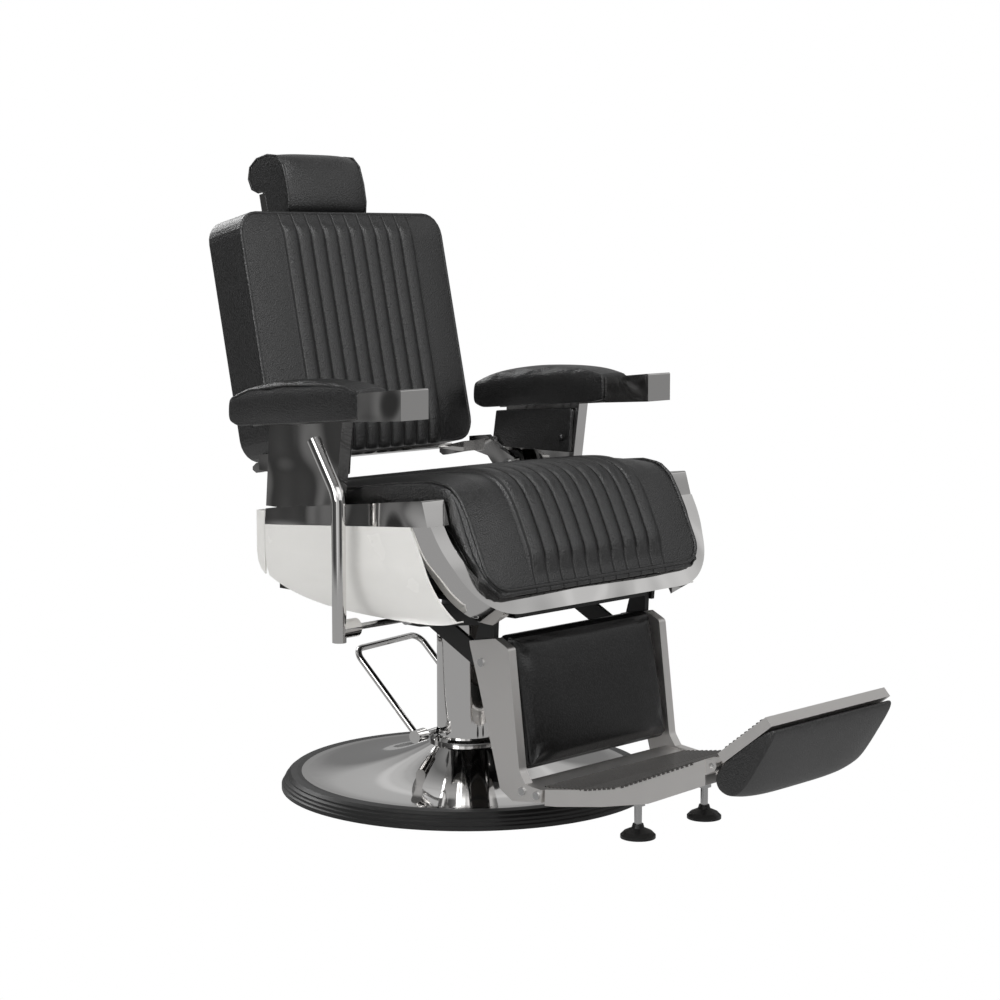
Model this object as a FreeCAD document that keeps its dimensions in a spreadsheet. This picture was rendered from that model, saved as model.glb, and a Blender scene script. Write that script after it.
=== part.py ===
import FreeCAD, Part
import math
import os
import Sketcher

# Reclining barber chair on a round pump base. Millimetres, +Z up, the sitter faces -Y,
# the sitter's right hand is on -X, and the origin is on the floor in the middle of the base.

doc = FreeCAD.newDocument("barber_chair")
sheet = doc.addObject("Spreadsheet::Sheet", "sizes")

# Driving sizes of the whole chair
SIZES = (
    ("base_radius", "345", "outer radius of the rubber base ring"),
    ("base_tall", "30", "height of the base ring where the dish rests"),
    ("ring_wide", "37", "width of the base ring outside the dish"),
    ("ring_ledge", "12.2", "width of the ledge in the ring under the dish"),
    ("dish_tall", "80", "height of the dish at the column"),
    ("dish_wall", "2", "sheet thickness of the dish"),
    ("weight_tall", "11", "thickness of the iron weight disc"),
    ("collar_radius", "70", "outer radius of the column collar"),
    ("column_radius", "57", "outer radius of the column cover"),
    ("column_wall", "2.5", "wall of the column cover"),
    ("column_top", "335", "top of the column cover"),
    ("pump_radius", "35", "outer radius of the pump cylinder"),
    ("pump_top", "322", "top of the pump cylinder"),
    ("ram_radius", "25", "radius of the pump ram"),
    ("running_fit", "0.05", "radial play of every running fit"),
    ("head_low", "337", "underside of the swivel head"),
    ("deck_low", "360", "underside of the swivel flange"),
    ("deck_top", "380", "top of the swivel flange plate"),
    ("pedal_turn", "10", "turn of the pedal about the column"),
    ("pedal_axle_out", "42.5", "distance of the pedal axle behind the column middle"),
    ("pedal_axle_up", "102", "height of the pedal axle"),
    ("pedal_rod", "6", "radius of the pedal rod and axle"),
    ("pedal_half", "101", "half width of the pedal loop, middle of the rod"),
    ("pedal_reach", "186", "reach of the pedal loop behind the column"),
    ("pedal_up", "248", "height of the pedal crossbar"),
    ("seat_rear_half", "258", "half width of the seat cushion beside the hinge arms"),
    ("hinge_space", "28", "space for a hinge arm between the seat cushion and a side frame"),
    ("frame_wall", "8", "thickness of the side frames"),
    ("rail_wide", "51", "width of the side rails outside the side frames"),
    ("back_pivot_y", "152", "recline pivot, front to rear"),
    ("back_pivot_z", "568", "recline pivot, height"),
    ("crank_y", "11", "crank pin behind the recline pivot"),
    ("crank_z", "94", "crank pin below the recline pivot"),
    ("leg_pivot_y", "-248", "leg rest pivot, front to rear"),
    ("leg_pivot_z", "368", "leg rest pivot, height"),
    ("back_y", "236", "front bottom edge of the backrest, front to rear"),
    ("back_z", "612", "front bottom edge of the backrest, height"),
    ("back_tilt", "12.6", "lean of the backrest"),
    ("back_half", "258", "half width of the backrest"),
    ("back_tall", "455", "height of the backrest along its lean"),
    ("back_foam", "80", "thickness of the back cushion"),
    ("back_board", "15", "thickness of the back panel"),
    ("head_half", "98", "half width of the headrest"),
    ("head_tall", "120", "height of the headrest"),
    ("head_deep", "100", "depth of the headrest"),
    ("seat_gap", "4", "gap between the seat cushion and a side frame"),
    ("seat_z", "517", "underside of the seat board"),
    ("seat_board_thick", "12", "thickness of the seat board"),
    ("arm_y", "-12", "front top corner of the arm panel, front to rear"),
    ("arm_z", "692", "front top corner of the arm panel, height"),
    ("arm_wide", "64", "width of the armrest"),
    ("leg_in", "190", "inner face of the leg arms"),
    ("leg_wide", "18", "thickness of the leg arms"),
    ("leg_pad_half", "184", "half width of the leg rest pad"),
    ("leg_foam", "44", "thickness of the leg rest pad"),
    ("flap_y", "-703", "flap hinge, front to rear"),
    ("flap_z", "176", "flap hinge, height"),
    ("flap_half", "162", "half width of the flap"),
    ("foot_x", "89", "floor glide, distance from the middle"),
    ("foot_y", "-488", "floor glide, front to rear"),
    ("lever_gap", "40", "middle of the lever tube outside the side rail"),
    ("lever_y", "-73", "lever shaft, front to rear"),
    ("lever_z", "346", "lever shaft, height"),
)
for row, (alias, value, meaning) in enumerate(SIZES, 1):
    sheet.set("A%d" % row, meaning)
    sheet.set("B%d" % row, value)
    sheet.setAlias("B%d" % row, alias)
doc.recompute()


class Size:
    """A length from the sheet, held as a formula for the document and as its number."""

    def __init__(self, formula, number):
        self.formula = formula
        self.number = number

    def joined(self, sign, other, number):
        return Size("(%s %s %s)" % (self.formula, sign, other.formula), number)

    def __add__(self, other):
        other = size(other)
        return self.joined("+", other, self.number + other.number)

    def __sub__(self, other):
        other = size(other)
        return self.joined("-", other, self.number - other.number)

    def __mul__(self, other):
        other = size(other)
        return self.joined("*", other, self.number * other.number)

    def __radd__(self, other):
        return size(other) + self

    def __rsub__(self, other):
        return size(other) - self

    def __rmul__(self, other):
        return size(other) * self

    def __neg__(self):
        return Size("(0 - %s)" % self.formula, -self.number)


def size(value):
    """A plain number as a Size; a Size is passed on as it is."""
    if isinstance(value, Size):
        return value
    return Size("(%.6f)" % value, float(value))


class Named:
    """The sheet's sizes by name."""


s = Named()
for alias, value, meaning in SIZES:
    setattr(s, alias, Size("sizes.%s" % alias, float(sheet.get(alias))))

# Sizes that follow from the ones above
s.dish_radius = s.base_radius - s.ring_wide
s.weight_radius = s.dish_radius - s.ring_ledge
s.frame_in = s.seat_rear_half + s.hinge_space
s.frame_half = s.frame_in + s.frame_wall + s.rail_wide
s.seat_half = s.frame_in - s.seat_gap
s.lever_x = -(s.frame_half + s.lever_gap)

X_AXIS = FreeCAD.Vector(1, 0, 0)
Y_AXIS = FreeCAD.Vector(0, 1, 0)
Z_AXIS = FreeCAD.Vector(0, 0, 1)

nodes = {}


def node(piece, name):
    """Name a finished piece as one sub-part of the chair."""
    piece.Label = name
    nodes[name] = piece
    return piece


def put(piece, x, y, z, axis=X_AXIS, turn=0):
    """Place a piece by formula, turned about one axis."""
    turn = size(turn)
    piece.Placement = FreeCAD.Placement(FreeCAD.Vector(), FreeCAD.Rotation(axis, turn.number))
    for letter, value in (("x", x), ("y", y), ("z", z)):
        piece.setExpression("Placement.Base.%s" % letter, size(value).formula)
    return piece


def draw(body, name, role, corners):
    """Sketch a closed outline of straight runs on one of the body's planes."""
    plane = [feature for feature in body.Origin.OriginFeatures if feature.Role == role][0]
    sketch = body.newObject("Sketcher::SketchObject", name + "_outline")
    sketch.AttachmentSupport = [(plane, "")]
    sketch.MapMode = "FlatFace"
    corners = [(size(u), size(v)) for u, v in corners]
    points = [FreeCAD.Vector(u.number, v.number, 0) for u, v in corners]
    count = len(points)
    for i in range(count):
        sketch.addGeometry(Part.LineSegment(points[i], points[(i + 1) % count]), False)
    for i in range(count):
        sketch.addConstraint(Sketcher.Constraint("Coincident", i, 2, (i + 1) % count, 1))
    for i, pair in enumerate(corners):
        for kind, value in zip(("DistanceX", "DistanceY"), pair):
            index = sketch.addConstraint(Sketcher.Constraint(kind, -1, 1, i, 1, value.number))
            sketch.setExpression("Constraints[%d]" % index, value.formula)
    return sketch, points


def round_edges(body, name, pad, spots, radius, along):
    """Round the pad's straight edges that run along one axis through the given spots."""
    doc.recompute()
    names = []
    for i, edge in enumerate(pad.Shape.Edges, 1):
        ends = [vertex.Point for vertex in edge.Vertexes]
        if len(ends) != 2 or abs((ends[1] - ends[0]).normalize().dot(along)) < 0.99:
            continue
        for u, v in spots:
            flat = FreeCAD.Vector(0, u, v) if along == X_AXIS else FreeCAD.Vector(u, 0, v)
            away = ends[0] - flat
            if (away - along * away.dot(along)).Length < 0.01:
                names.append("Edge%d" % i)
    fillet = body.newObject("PartDesign::Fillet", name)
    fillet.Base = (pad, names)
    fillet.Radius = radius
    body.Tip = fillet
    doc.recompute()
    return fillet


def plate(name, low, thick, corners, y=0, z=0, turn=0, rounds=()):
    """A piece with one side outline: low is its lower face across the chair."""
    body = doc.addObject("PartDesign::Body", name)
    sketch, points = draw(body, name, "YZ_Plane", corners)
    pad = body.newObject("PartDesign::Pad", name + "_thick")
    pad.Profile = sketch
    pad.setExpression("Length", size(thick).formula)
    body.Tip = pad
    last = pad
    for number, (radius, picked) in enumerate(rounds):
        spots = [(points[i].x, points[i].y) for i in picked]
        last = round_edges(body, "%s_round%d" % (name, number), last, spots, radius, X_AXIS)
    return put(body, low, y, z, X_AXIS, turn)


def turned(name, corners, x=0, y=0, z=0):
    """A turned piece: corners are radius and height, spun about its own upright axis."""
    body = doc.addObject("PartDesign::Body", name)
    sketch, points = draw(body, name, "XZ_Plane", corners)
    spin = body.newObject("PartDesign::Revolution", name + "_spin")
    spin.Profile = sketch
    spin.ReferenceAxis = (sketch, ["V_Axis"])
    spin.Angle = 360
    body.Tip = spin
    return put(body, x, y, z)


def rod(name, radius, length, x, y, z, axis=Y_AXIS, turn=90):
    """A round bar. It runs along +X unless turned another way."""
    piece = doc.addObject("Part::Cylinder", name)
    piece.setExpression("Radius", size(radius).formula)
    piece.setExpression("Height", size(length).formula)
    return put(piece, x, y, z, axis, turn)


def block(name, long_x, long_y, long_z, x, y, z, turn=0):
    """A square-edged block, turned about X where it leans."""
    piece = doc.addObject("Part::Box", name)
    piece.setExpression("Length", size(long_x).formula)
    piece.setExpression("Width", size(long_y).formula)
    piece.setExpression("Height", size(long_z).formula)
    return put(piece, x, y, z, X_AXIS, turn)


def join(name, pieces):
    """Pieces cast or welded into one."""
    piece = doc.addObject("Part::MultiFuse", name)
    piece.Shapes = pieces
    piece.Refine = True
    return piece


def cut(name, base, tools):
    """A piece with holes, pockets or notches taken out of it."""
    for number, tool in enumerate(tools):
        piece = doc.addObject("Part::Cut", "%s_cut%d" % (name, number))
        piece.Base = base
        piece.Tool = tool
        base = piece
    return base


def together(name, pieces):
    """Like pieces that share one name, each its own solid."""
    piece = doc.addObject("Part::Compound", name)
    piece.Links = pieces
    return node(piece, name)


def coded(name, shape):
    """A shape swept or lofted in code from the sheet's sizes."""
    piece = doc.addObject("Part::Feature", name)
    piece.Shape = shape
    piece.Placement = FreeCAD.Placement()
    return piece


def sides(low, thick):
    """The lower faces of a mirrored pair: right of the sitter first, then left."""
    return (("right", -(size(low) + thick)), ("left", size(low)))


def swept_rod(points, radius, bend):
    """A round rod bent along a path of straight runs."""
    path = [FreeCAD.Vector(*point) for point in points]
    edges = []
    start = path[0]
    for before, corner, after in zip(path, path[1:], path[2:]):
        back = (before - corner).normalize()
        on = (after - corner).normalize()
        half = math.acos(max(-1, min(1, back.dot(on)))) / 2
        reach = bend / math.tan(half)
        entry = corner + back * reach
        leave = corner + on * reach
        middle = corner + (back + on).normalize() * (bend / math.sin(half) - bend)
        edges.append(Part.LineSegment(start, entry).toShape())
        edges.append(Part.Arc(entry, middle, leave).toShape())
        start = leave
    edges.append(Part.LineSegment(start, path[-1]).toShape())
    wire = Part.Wire(edges)
    ring = Part.Wire([Part.makeCircle(radius, path[0], (path[1] - path[0]).normalize())])
    return wire.makePipeShell([ring], True, False)


# Base: a rubber ring and an iron weight on the floor under a chromed dish
ring_high = s.base_tall
node(turned("base_ring", [
    (s.base_radius, 0), (s.base_radius, 7), (s.base_radius - 3.5, 9), (s.base_radius - 3.5, 13),
    (s.base_radius - 6.5, 15), (s.base_radius - 6.5, 19), (s.base_radius - 11, 22),
    (s.base_radius - 11, ring_high - 5), (s.base_radius - 17, ring_high - 0.5),
    (s.base_radius - 29, ring_high + 1), (s.dish_radius + 0.2, ring_high),
    (s.dish_radius + 0.2, ring_high - s.dish_wall), (s.weight_radius + 0.2, ring_high - s.dish_wall),
    (s.weight_radius + 0.2, 0)]), "base_ring")
node(turned("base_weight", [
    (0, 0), (s.weight_radius, 0), (s.weight_radius, s.weight_tall), (0, s.weight_tall)]),
    "base_weight")


def dish_shape():
    """The pressed dish: a flat rim, a hollow flare and a flat land round the column."""
    rim = s.weight_radius.number
    edge = s.dish_radius.number
    land = s.collar_radius.number + 2
    low = s.base_tall.number
    high = s.dish_tall.number
    wall = s.dish_wall.number
    inner = s.column_radius.number - s.column_wall.number - 1.3

    def flare(lift):
        run = rim - land
        rise = high - low
        bend = (run * run + rise * rise) / (2 * rise)
        swing = math.asin(run / bend) / 2
        middle = FreeCAD.Vector(rim - bend * math.sin(swing), 0,
                                low + bend - bend * math.cos(swing) + lift)
        return Part.Arc(FreeCAD.Vector(rim, 0, low + lift), middle,
                        FreeCAD.Vector(land, 0, high + lift)).toShape()

    def run(r0, z0, r1, z1):
        return Part.LineSegment(FreeCAD.Vector(r0, 0, z0), FreeCAD.Vector(r1, 0, z1)).toShape()

    edges = [run(edge, low - wall, edge, low), run(edge, low, rim, low), flare(0),
             run(land, high, inner, high), run(inner, high, inner, high - wall),
             run(inner, high - wall, land, high - wall), flare(-wall),
             run(rim, low - wall, edge, low - wall)]
    face = Part.Face(Part.Wire(Part.__sortEdges__(edges)))
    return face.revolve(FreeCAD.Vector(), Z_AXIS, 360)


node(coded("base_dish", dish_shape()), "base_dish")

# Column: a chromed cover tube with a collar round the pump, which stands on the weight
collar_tall = 14
cover = turned("cover_tube", [
    (s.column_radius - s.column_wall, s.dish_tall), (s.column_radius, s.dish_tall),
    (s.column_radius, s.column_top), (s.column_radius - s.column_wall, s.column_top)])
node(turned("column_collar", [
    (s.column_radius + 0.1, s.dish_tall), (s.collar_radius, s.dish_tall),
    (s.collar_radius, s.dish_tall + collar_tall - 5),
    (s.collar_radius - 5, s.dish_tall + collar_tall),
    (s.column_radius + 0.1, s.dish_tall + collar_tall)]), "column_collar")
bore = s.ram_radius + s.running_fit
node(turned("pump_cylinder", [
    (0, s.weight_tall), (s.pump_radius, s.weight_tall), (s.pump_radius, s.pump_top),
    (bore, s.pump_top), (bore, 60), (0, 60)]), "pump_cylinder")

# Pump pedal: a bent rod on an axle that turns in a bearing block bolted to the pump
turn = math.radians(s.pedal_turn.number)
rear = FreeCAD.Vector(-math.sin(turn), math.cos(turn), 0)
side = FreeCAD.Vector(math.cos(turn), math.sin(turn), 0)


def pedal_spot(across, back, up):
    """A point given across, behind and above the middle of the base, in the pedal's turn."""
    return side * across + rear * back + Z_AXIS * up


def pedal_rod_along(name, radius, half, back, up):
    """A round bar across the pedal, centred on it."""
    start = pedal_spot(-half, back, up)
    return coded(name, Part.makeCylinder(radius, 2 * half, start, side))


axle_out = s.pedal_axle_out.number
axle_up = s.pedal_axle_up.number
axle_rod = s.pedal_rod.number
loop_half = s.pedal_half.number
hub_in = loop_half - 20
hub_out = loop_half - 4
axle_hole = axle_rod + s.running_fit.number
bearing = Part.makeBox(28, 16, axle_up + 16 - s.weight_tall.number)
bearing.Placement = FreeCAD.Placement(
    pedal_spot(-14, s.pump_radius.number + 0.3, s.weight_tall.number),
    FreeCAD.Rotation(Z_AXIS, s.pedal_turn.number))
bearing = bearing.cut(Part.makeCylinder(axle_hole, 60, pedal_spot(-30, axle_out, axle_up), side))
node(coded("pump_block", bearing), "pump_block")
node(pedal_rod_along("pedal_axle", axle_rod, hub_out, axle_out, axle_up), "pedal_axle")

window = Part.makeCylinder(axle_rod + 3, 300, pedal_spot(-150, axle_out, axle_up), side)
node(cut("column_cover", cover, [coded("axle_window_tool", window)]), "column_cover")

loop_path = []
for across in (-1, 1):
    arm = [pedal_spot(across * loop_half, axle_out, axle_up),
           pedal_spot(across * loop_half, s.pedal_reach.number, s.pedal_up.number)]
    loop_path.extend(arm if across < 0 else reversed(arm))
loop = swept_rod(loop_path, axle_rod, 24)
for across in (-1, 1):
    hub = Part.makeCylinder(axle_rod + 6, hub_out - hub_in + 13,
                            pedal_spot(across * hub_in, axle_out, axle_up), side * across)
    loop = loop.fuse(hub)
loop = loop.cut(Part.makeCylinder(axle_rod, 2 * hub_out, pedal_spot(-hub_out, axle_out, axle_up), side))
node(coded("pedal_loop", loop), "pedal_loop")

# Lift and swivel: the ram slides in the pump and the swivel head turns on top of the ram
node(rod("pump_ram", s.ram_radius, s.deck_low + 5 - 100, 0, 0, 100, Z_AXIS, 0), "pump_ram")
node(turned("swivel_head", [
    (bore, s.head_low), (48, s.head_low), (48, s.deck_low), (80, s.deck_low),
    (80, s.deck_top - 8), (0, s.deck_top - 8), (0, s.deck_low + 5.1), (bore, s.deck_low + 5.1)]),
    "swivel_head")
node(block("seat_mount_plate", 300, 320, 8, -150, -160, s.deck_top - 8), "seat_mount_plate")

# Chassis: beams on the swivel plate, a rear and a front cross beam and the side frames
beam_high = 25
chassis_top = s.deck_top + beam_high
beam_wall = 3


def beam(name, long_x, long_y, high, x, y, z, along):
    """A square steel tube, open at both ends of the way it runs."""
    slack = {"x": (10, -beam_wall), "y": (-beam_wall, 10)}[along]
    solid = block(name + "_outside", long_x, long_y, high, x, y, z)
    inside = block(name + "_inside", long_x + 2 * slack[0], long_y + 2 * slack[1], high - 2 * beam_wall,
                   x - slack[0], y - slack[1], z + beam_wall)
    return cut(name, solid, [inside])


together("chassis_beams", [
    beam("chassis_beam_%s" % hand, 40, 343, beam_high, low, -225, s.deck_top, "y")
    for hand, low in sides(100, 40)])
node(beam("rear_crossbeam", 2 * s.frame_in, 40, beam_high, -s.frame_in, 118, s.deck_top, "x"),
     "rear_crossbeam")
front_low = s.leg_pivot_z + 25
node(beam("front_crossbeam", 450, 54, 27, -225, s.leg_pivot_y - 31, front_low, "x"), "front_crossbeam")
node(beam("front_underbar", 348, 27, 29, -174, s.leg_pivot_y - 36, front_low - 29, "x"), "front_underbar")

# Leg rest brackets under the front cross beam; the right one also carries the lever shaft
bracket_in = s.leg_in + s.leg_wide - 2
pivot_hole = 9
for_lever_y = s.lever_y - s.leg_pivot_y
for_lever_z = s.lever_z - s.leg_pivot_z
bracket_left = plate("leg_bracket_left_blank", bracket_in, 8, [
    (-24, 25), (-20, -16), (20, -16), (23, 25)], s.leg_pivot_y, s.leg_pivot_z)
bracket_right = plate("leg_bracket_right_blank", -bracket_in - 8, 8, [
    (-24, 25), (-20, -16), (14, -16), (for_lever_y - 20, for_lever_z - 14),
    (for_lever_y + 18, for_lever_z - 14), (for_lever_y + 18, for_lever_z + 16), (23, 25)],
    s.leg_pivot_y, s.leg_pivot_z)
shaft_radius = 5.5
together("leg_brackets", [
    cut("leg_bracket_left", bracket_left, [
        rod("leg_hole_left", pivot_hole, 20, bracket_in - 5, s.leg_pivot_y, s.leg_pivot_z)]),
    cut("leg_bracket_right", bracket_right, [
        rod("leg_hole_right", pivot_hole, 20, -bracket_in - 15, s.leg_pivot_y, s.leg_pivot_z),
        rod("lever_hole", shaft_radius + s.running_fit, 20, -bracket_in - 15, s.lever_y, s.lever_z)])])

# Side frames: upright steel plates that carry the seat, the arms and the recline pivots
frame_out = s.frame_in + s.frame_wall
frame_outline = [
    (186, s.deck_top), (186, s.back_pivot_z + 8), (s.back_pivot_y + 18, s.back_pivot_z + 24),
    (s.back_pivot_y - 14, s.back_pivot_z + 24), (118, s.seat_z + 16), (60, s.seat_z + 16),
    (-225, s.seat_z + 20), (-225, s.seat_z - 8), (-150, 420), (90, 402), (112, s.deck_top)]
frames = []
for hand, low in sides(s.frame_in, s.frame_wall):
    blank = plate("side_frame_%s_blank" % hand, low, s.frame_wall, frame_outline,
                  rounds=[(10, [2, 3])])
    hole = rod("frame_hole_%s" % hand, pivot_hole, s.frame_wall + 20, low - 10,
               s.back_pivot_y, s.back_pivot_z)
    frames.append(cut("side_frame_%s" % hand, blank, [hole]))
together("side_frames", frames)
pin_long = 32
together("pivot_pins", [
    rod("hinge_pin_%s" % hand, pivot_hole, pin_long, low, s.back_pivot_y, s.back_pivot_z)
    for hand, low in sides(frame_out - pin_long, pin_long)] + [
    rod("leg_pin_%s" % hand, pivot_hole, pin_long, low, s.leg_pivot_y, s.leg_pivot_z)
    for hand, low in sides(s.leg_in + 1, pin_long)])

# Side rails: polished hollow castings along the top of each side, rising to the front
rail_deep = s.rail_wide
rail_outline = [(165, 503), (162, 531), (-233, 575), (-246, 532)]
rail_hollow = [(158, 509), (156, 526), (-224, 568), (-233, 538)]
for hand, low in sides(frame_out, rail_deep):
    rail = plate("side_rail_%s_blank" % hand, low, rail_deep, rail_outline, rounds=[(4, [2])])
    start = frame_out - 1 if hand == "left" else -frame_out - rail_deep + 5
    hollow = plate("side_rail_%s_hollow" % hand, start, rail_deep - 4, rail_hollow)
    node(cut("side_rail_%s" % hand, rail, [hollow]), "side_rail_%s" % hand)

# Front hoop: a polished U-shaped band that frames the seat front, leaning forward at its foot
hoop_face = 30
hoop_deep = 44
hoop_lean = 29.4
hoop_long = 240
hoop_bar_half = 235
hoop_low_y = -335
hoop_low_z = 383
hoop_knee = 5
hoop_knee_up = 130
hoop_taper = 52


def hoop_shape():
    """The U outline stood on its lean, drawn out to the rear, level along its bar and square to the
    lean at its corners and sides, and cut under the rails."""
    half = s.frame_half.number

    slope = FreeCAD.Rotation(X_AXIS, -hoop_lean)

    def ring(inset, top):
        wide = half - inset
        knee = wide - hoop_knee
        foot = wide - hoop_taper
        turn_in = 84 - 0.5 * inset
        flat = [FreeCAD.Vector(-wide, 0, top), FreeCAD.Vector(-knee, 0, hoop_knee_up),
                FreeCAD.Vector(-foot, 0, inset), FreeCAD.Vector(foot, 0, inset),
                FreeCAD.Vector(knee, 0, hoop_knee_up), FreeCAD.Vector(wide, 0, top)]
        turns = [26, turn_in, turn_in, 26]
        path = [FreeCAD.Vector(0, hoop_low_y, hoop_low_z) + slope.multVec(spot) for spot in flat]
        edges = []
        start = path[0]
        for before, corner, after, reach in zip(path, path[1:], path[2:], turns):
            back = (before - corner).normalize()
            on = (after - corner).normalize()
            turn = 0.5 * back.getAngle(on)
            radius = reach * math.tan(turn)
            middle = corner + (back + on).normalize() * (radius / math.sin(turn) - radius)
            entry = corner + back * reach
            leave = corner + on * reach
            edges.append(Part.LineSegment(start, entry).toShape())
            edges.append(Part.Arc(entry, middle, leave).toShape())
            start = leave
        edges.append(Part.LineSegment(start, path[-1]).toShape())
        edges.append(Part.LineSegment(path[-1], path[0]).toShape())
        return Part.Face(Part.Wire(edges))

    def drawn_out(step):
        band = ring(0, hoop_long).extrude(step)
        gap = ring(hoop_face, hoop_long + 60)
        gap.translate(step * -0.25)
        return band.cut(gap.extrude(step * 1.5))

    middle = Part.makeBox(2 * hoop_bar_half, 400, 400, FreeCAD.Vector(-hoop_bar_half, -500, 300))
    level = drawn_out(FreeCAD.Vector(0, hoop_deep - 8, 0)).common(middle)
    square = drawn_out(slope.multVec(FreeCAD.Vector(0, hoop_deep + 6, 0))).cut(middle)
    band = level.fuse(square).removeSplitter()
    rail = [FreeCAD.Vector(-half - 10, y, z) for y, z in
            ((165, 503), (-350, 539.33), (-350, 640), (165, 640))]
    over = Part.Face(Part.makePolygon(rail + rail[:1])).extrude(FreeCAD.Vector(2 * half + 20, 0, 0))
    return band.cut(over)


node(coded("front_hoop", hoop_shape()), "front_hoop")

# Side panels: off-white moulded shells under the rails, rolled in along the bottom
panel_wall = 4
panel_roll = 130
panel_foot = [(165, 410), (148, 399), (113, 383), (52, 367), (-11, 360), (-140, 357), (-240, 363),
              (-280, 372)]


def panel_solid(inset):
    """The left panel's outer form, or its hollow, open at the front: an outline met with a roll."""
    inner = frame_out.number
    out = s.frame_half.number - inset
    foot = [FreeCAD.Vector(0, y, z + inset) for y, z in panel_foot]
    foot[0].y -= inset
    past = 30 if inset else 0
    foot[-1].y -= past
    foot[-1].z += 0.22 * past
    curve = Part.BSplineCurve()
    curve.interpolate(foot)
    rest = [foot[-1], FreeCAD.Vector(0, -205 - past, 529 - inset),
            FreeCAD.Vector(0, 165 - inset, 502 - inset), foot[0]]
    edges = [curve.toShape()]
    edges.extend(Part.LineSegment(a, b).toShape() for a, b in zip(rest, rest[1:]))
    prism = Part.Face(Part.Wire(edges)).extrude(FreeCAD.Vector(400, 0, 0))
    start = inner if inset == 0 else inner - 5
    roll = panel_roll - inset
    centre_x = out - roll
    centre_z = panel_roll + 328
    low_z = centre_z - math.sqrt(roll * roll - (start - centre_x) ** 2)
    section = [
        Part.LineSegment(FreeCAD.Vector(start, 0, low_z), FreeCAD.Vector(start, 0, 600)).toShape(),
        Part.LineSegment(FreeCAD.Vector(start, 0, 600), FreeCAD.Vector(out, 0, 600)).toShape(),
        Part.LineSegment(FreeCAD.Vector(out, 0, 600), FreeCAD.Vector(out, 0, centre_z)).toShape(),
        Part.Arc(FreeCAD.Vector(out, 0, centre_z),
                 FreeCAD.Vector(centre_x + roll * math.cos(0.5), 0, centre_z - roll * math.sin(0.5)),
                 FreeCAD.Vector(start, 0, low_z)).toShape()]
    face = Part.Face(Part.Wire(Part.__sortEdges__(section)))
    face.translate(FreeCAD.Vector(0, -400, 0))
    return prism.common(face.extrude(FreeCAD.Vector(0, 600, 0)))


shell = panel_solid(0).cut(panel_solid(panel_wall)).cut(nodes["front_hoop"].Shape)
shell = max(shell.Solids, key=lambda solid: solid.Volume)
node(coded("side_panel_left", shell), "side_panel_left")
node(coded("side_panel_right", shell.mirror(FreeCAD.Vector(), X_AXIS)), "side_panel_right")

# Rear cover: an off-white channel that closes the back of the frame
cover_half = s.frame_half - 2
cover_skin = 4
rear_shell = plate("rear_cover_blank", -cover_half, 2 * cover_half, [
    (168, 526), (190, 526), (190, 454), (187, 436), (180, 423), (168, 413)])
rear_hollow = block("rear_cover_hollow", 2 * (cover_half - cover_skin), 23 - cover_skin, 140,
                    cover_skin - cover_half, 167, 400)
node(cut("rear_cover", rear_shell, [rear_hollow]), "rear_cover")

# Arms: cast panels on the rails, a chromed nose with a tongue, and upholstered pads
arm_fall = 0.0833
nose_long = 106


def arm_line(y, above):
    """Height over the arm panel's top line at one place along the arm."""
    return s.arm_z - arm_fall * (y - s.arm_y.number) + above


def rail_top(y):
    """Height of the rail's top at one place along it."""
    return 531 + (162 - y) * 44 / 395


panel_deep = 25
arm_outline = [(8, rail_top(8)), (162, rail_top(162)), (192, rail_top(162)), (180, arm_line(180, 0)),
               (s.arm_y, s.arm_z)]
arm_hollow = [(16, 566), (176, 552), (168, 664), (4, 678)]
for hand, low in sides(frame_out, panel_deep):
    blank = plate("arm_panel_%s_blank" % hand, low, panel_deep, arm_outline)
    start = low - 1 if hand == "left" else low + 6
    hollow = plate("arm_panel_%s_hollow" % hand, start, panel_deep - 5, arm_hollow)
    node(cut("arm_panel_%s" % hand, blank, [hollow]), "arm_panel_%s" % hand)
together("arm_inner_pads", [
    plate("arm_inner_pad_%s" % hand, low, 9, [(6, 598), (212, 598), (200, 669), (-2, 684)])
    for hand, low in sides(frame_out - 9, 9)])
nose_rear = s.arm_y - 72
for hand, low in sides(s.frame_in, s.arm_wide):
    nose = plate("arm_nose_%s_blank" % hand, low, s.arm_wide, [
        (nose_rear, arm_line(-84, 0)), (nose_rear - nose_long, s.arm_z + 13),
        (nose_rear - nose_long, s.arm_z + 65), (nose_rear, s.arm_z + 54)], rounds=[(3, [2])])
    tongue = plate("arm_tongue_%s" % hand, low + 10, s.arm_wide - 20, [
        (nose_rear - 20, arm_line(-104, 0)), (200, arm_line(200, 0)), (200, arm_line(200, 4)),
        (nose_rear - 20, arm_line(-104, 4))])
    hollow = plate("arm_nose_%s_hollow" % hand, low + 4, s.arm_wide - 8, [
        (nose_rear - 4, s.arm_z - 20), (nose_rear - nose_long + 4, s.arm_z - 20),
        (nose_rear - nose_long + 4, s.arm_z + 60), (nose_rear - 4, s.arm_z + 50)])
    shell = cut("arm_nose_%s_shell" % hand, nose, [hollow])
    node(join("arm_nose_%s" % hand, [shell, tongue]), "arm_nose_%s" % hand)
    node(plate("arm_pad_%s" % hand, low + 1, s.arm_wide - 2, [
        (nose_rear + 0.5, arm_line(-83.5, 4)), (256, arm_line(256, 4)), (256, arm_line(256, 50)),
        (190, s.arm_z + 45), (90, s.arm_z + 60), (0, s.arm_z + 65), (-60, s.arm_z + 63),
        (nose_rear + 0.5, s.arm_z + 54)], rounds=[(14, [2])]), "arm_pad_%s" % hand)

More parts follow.
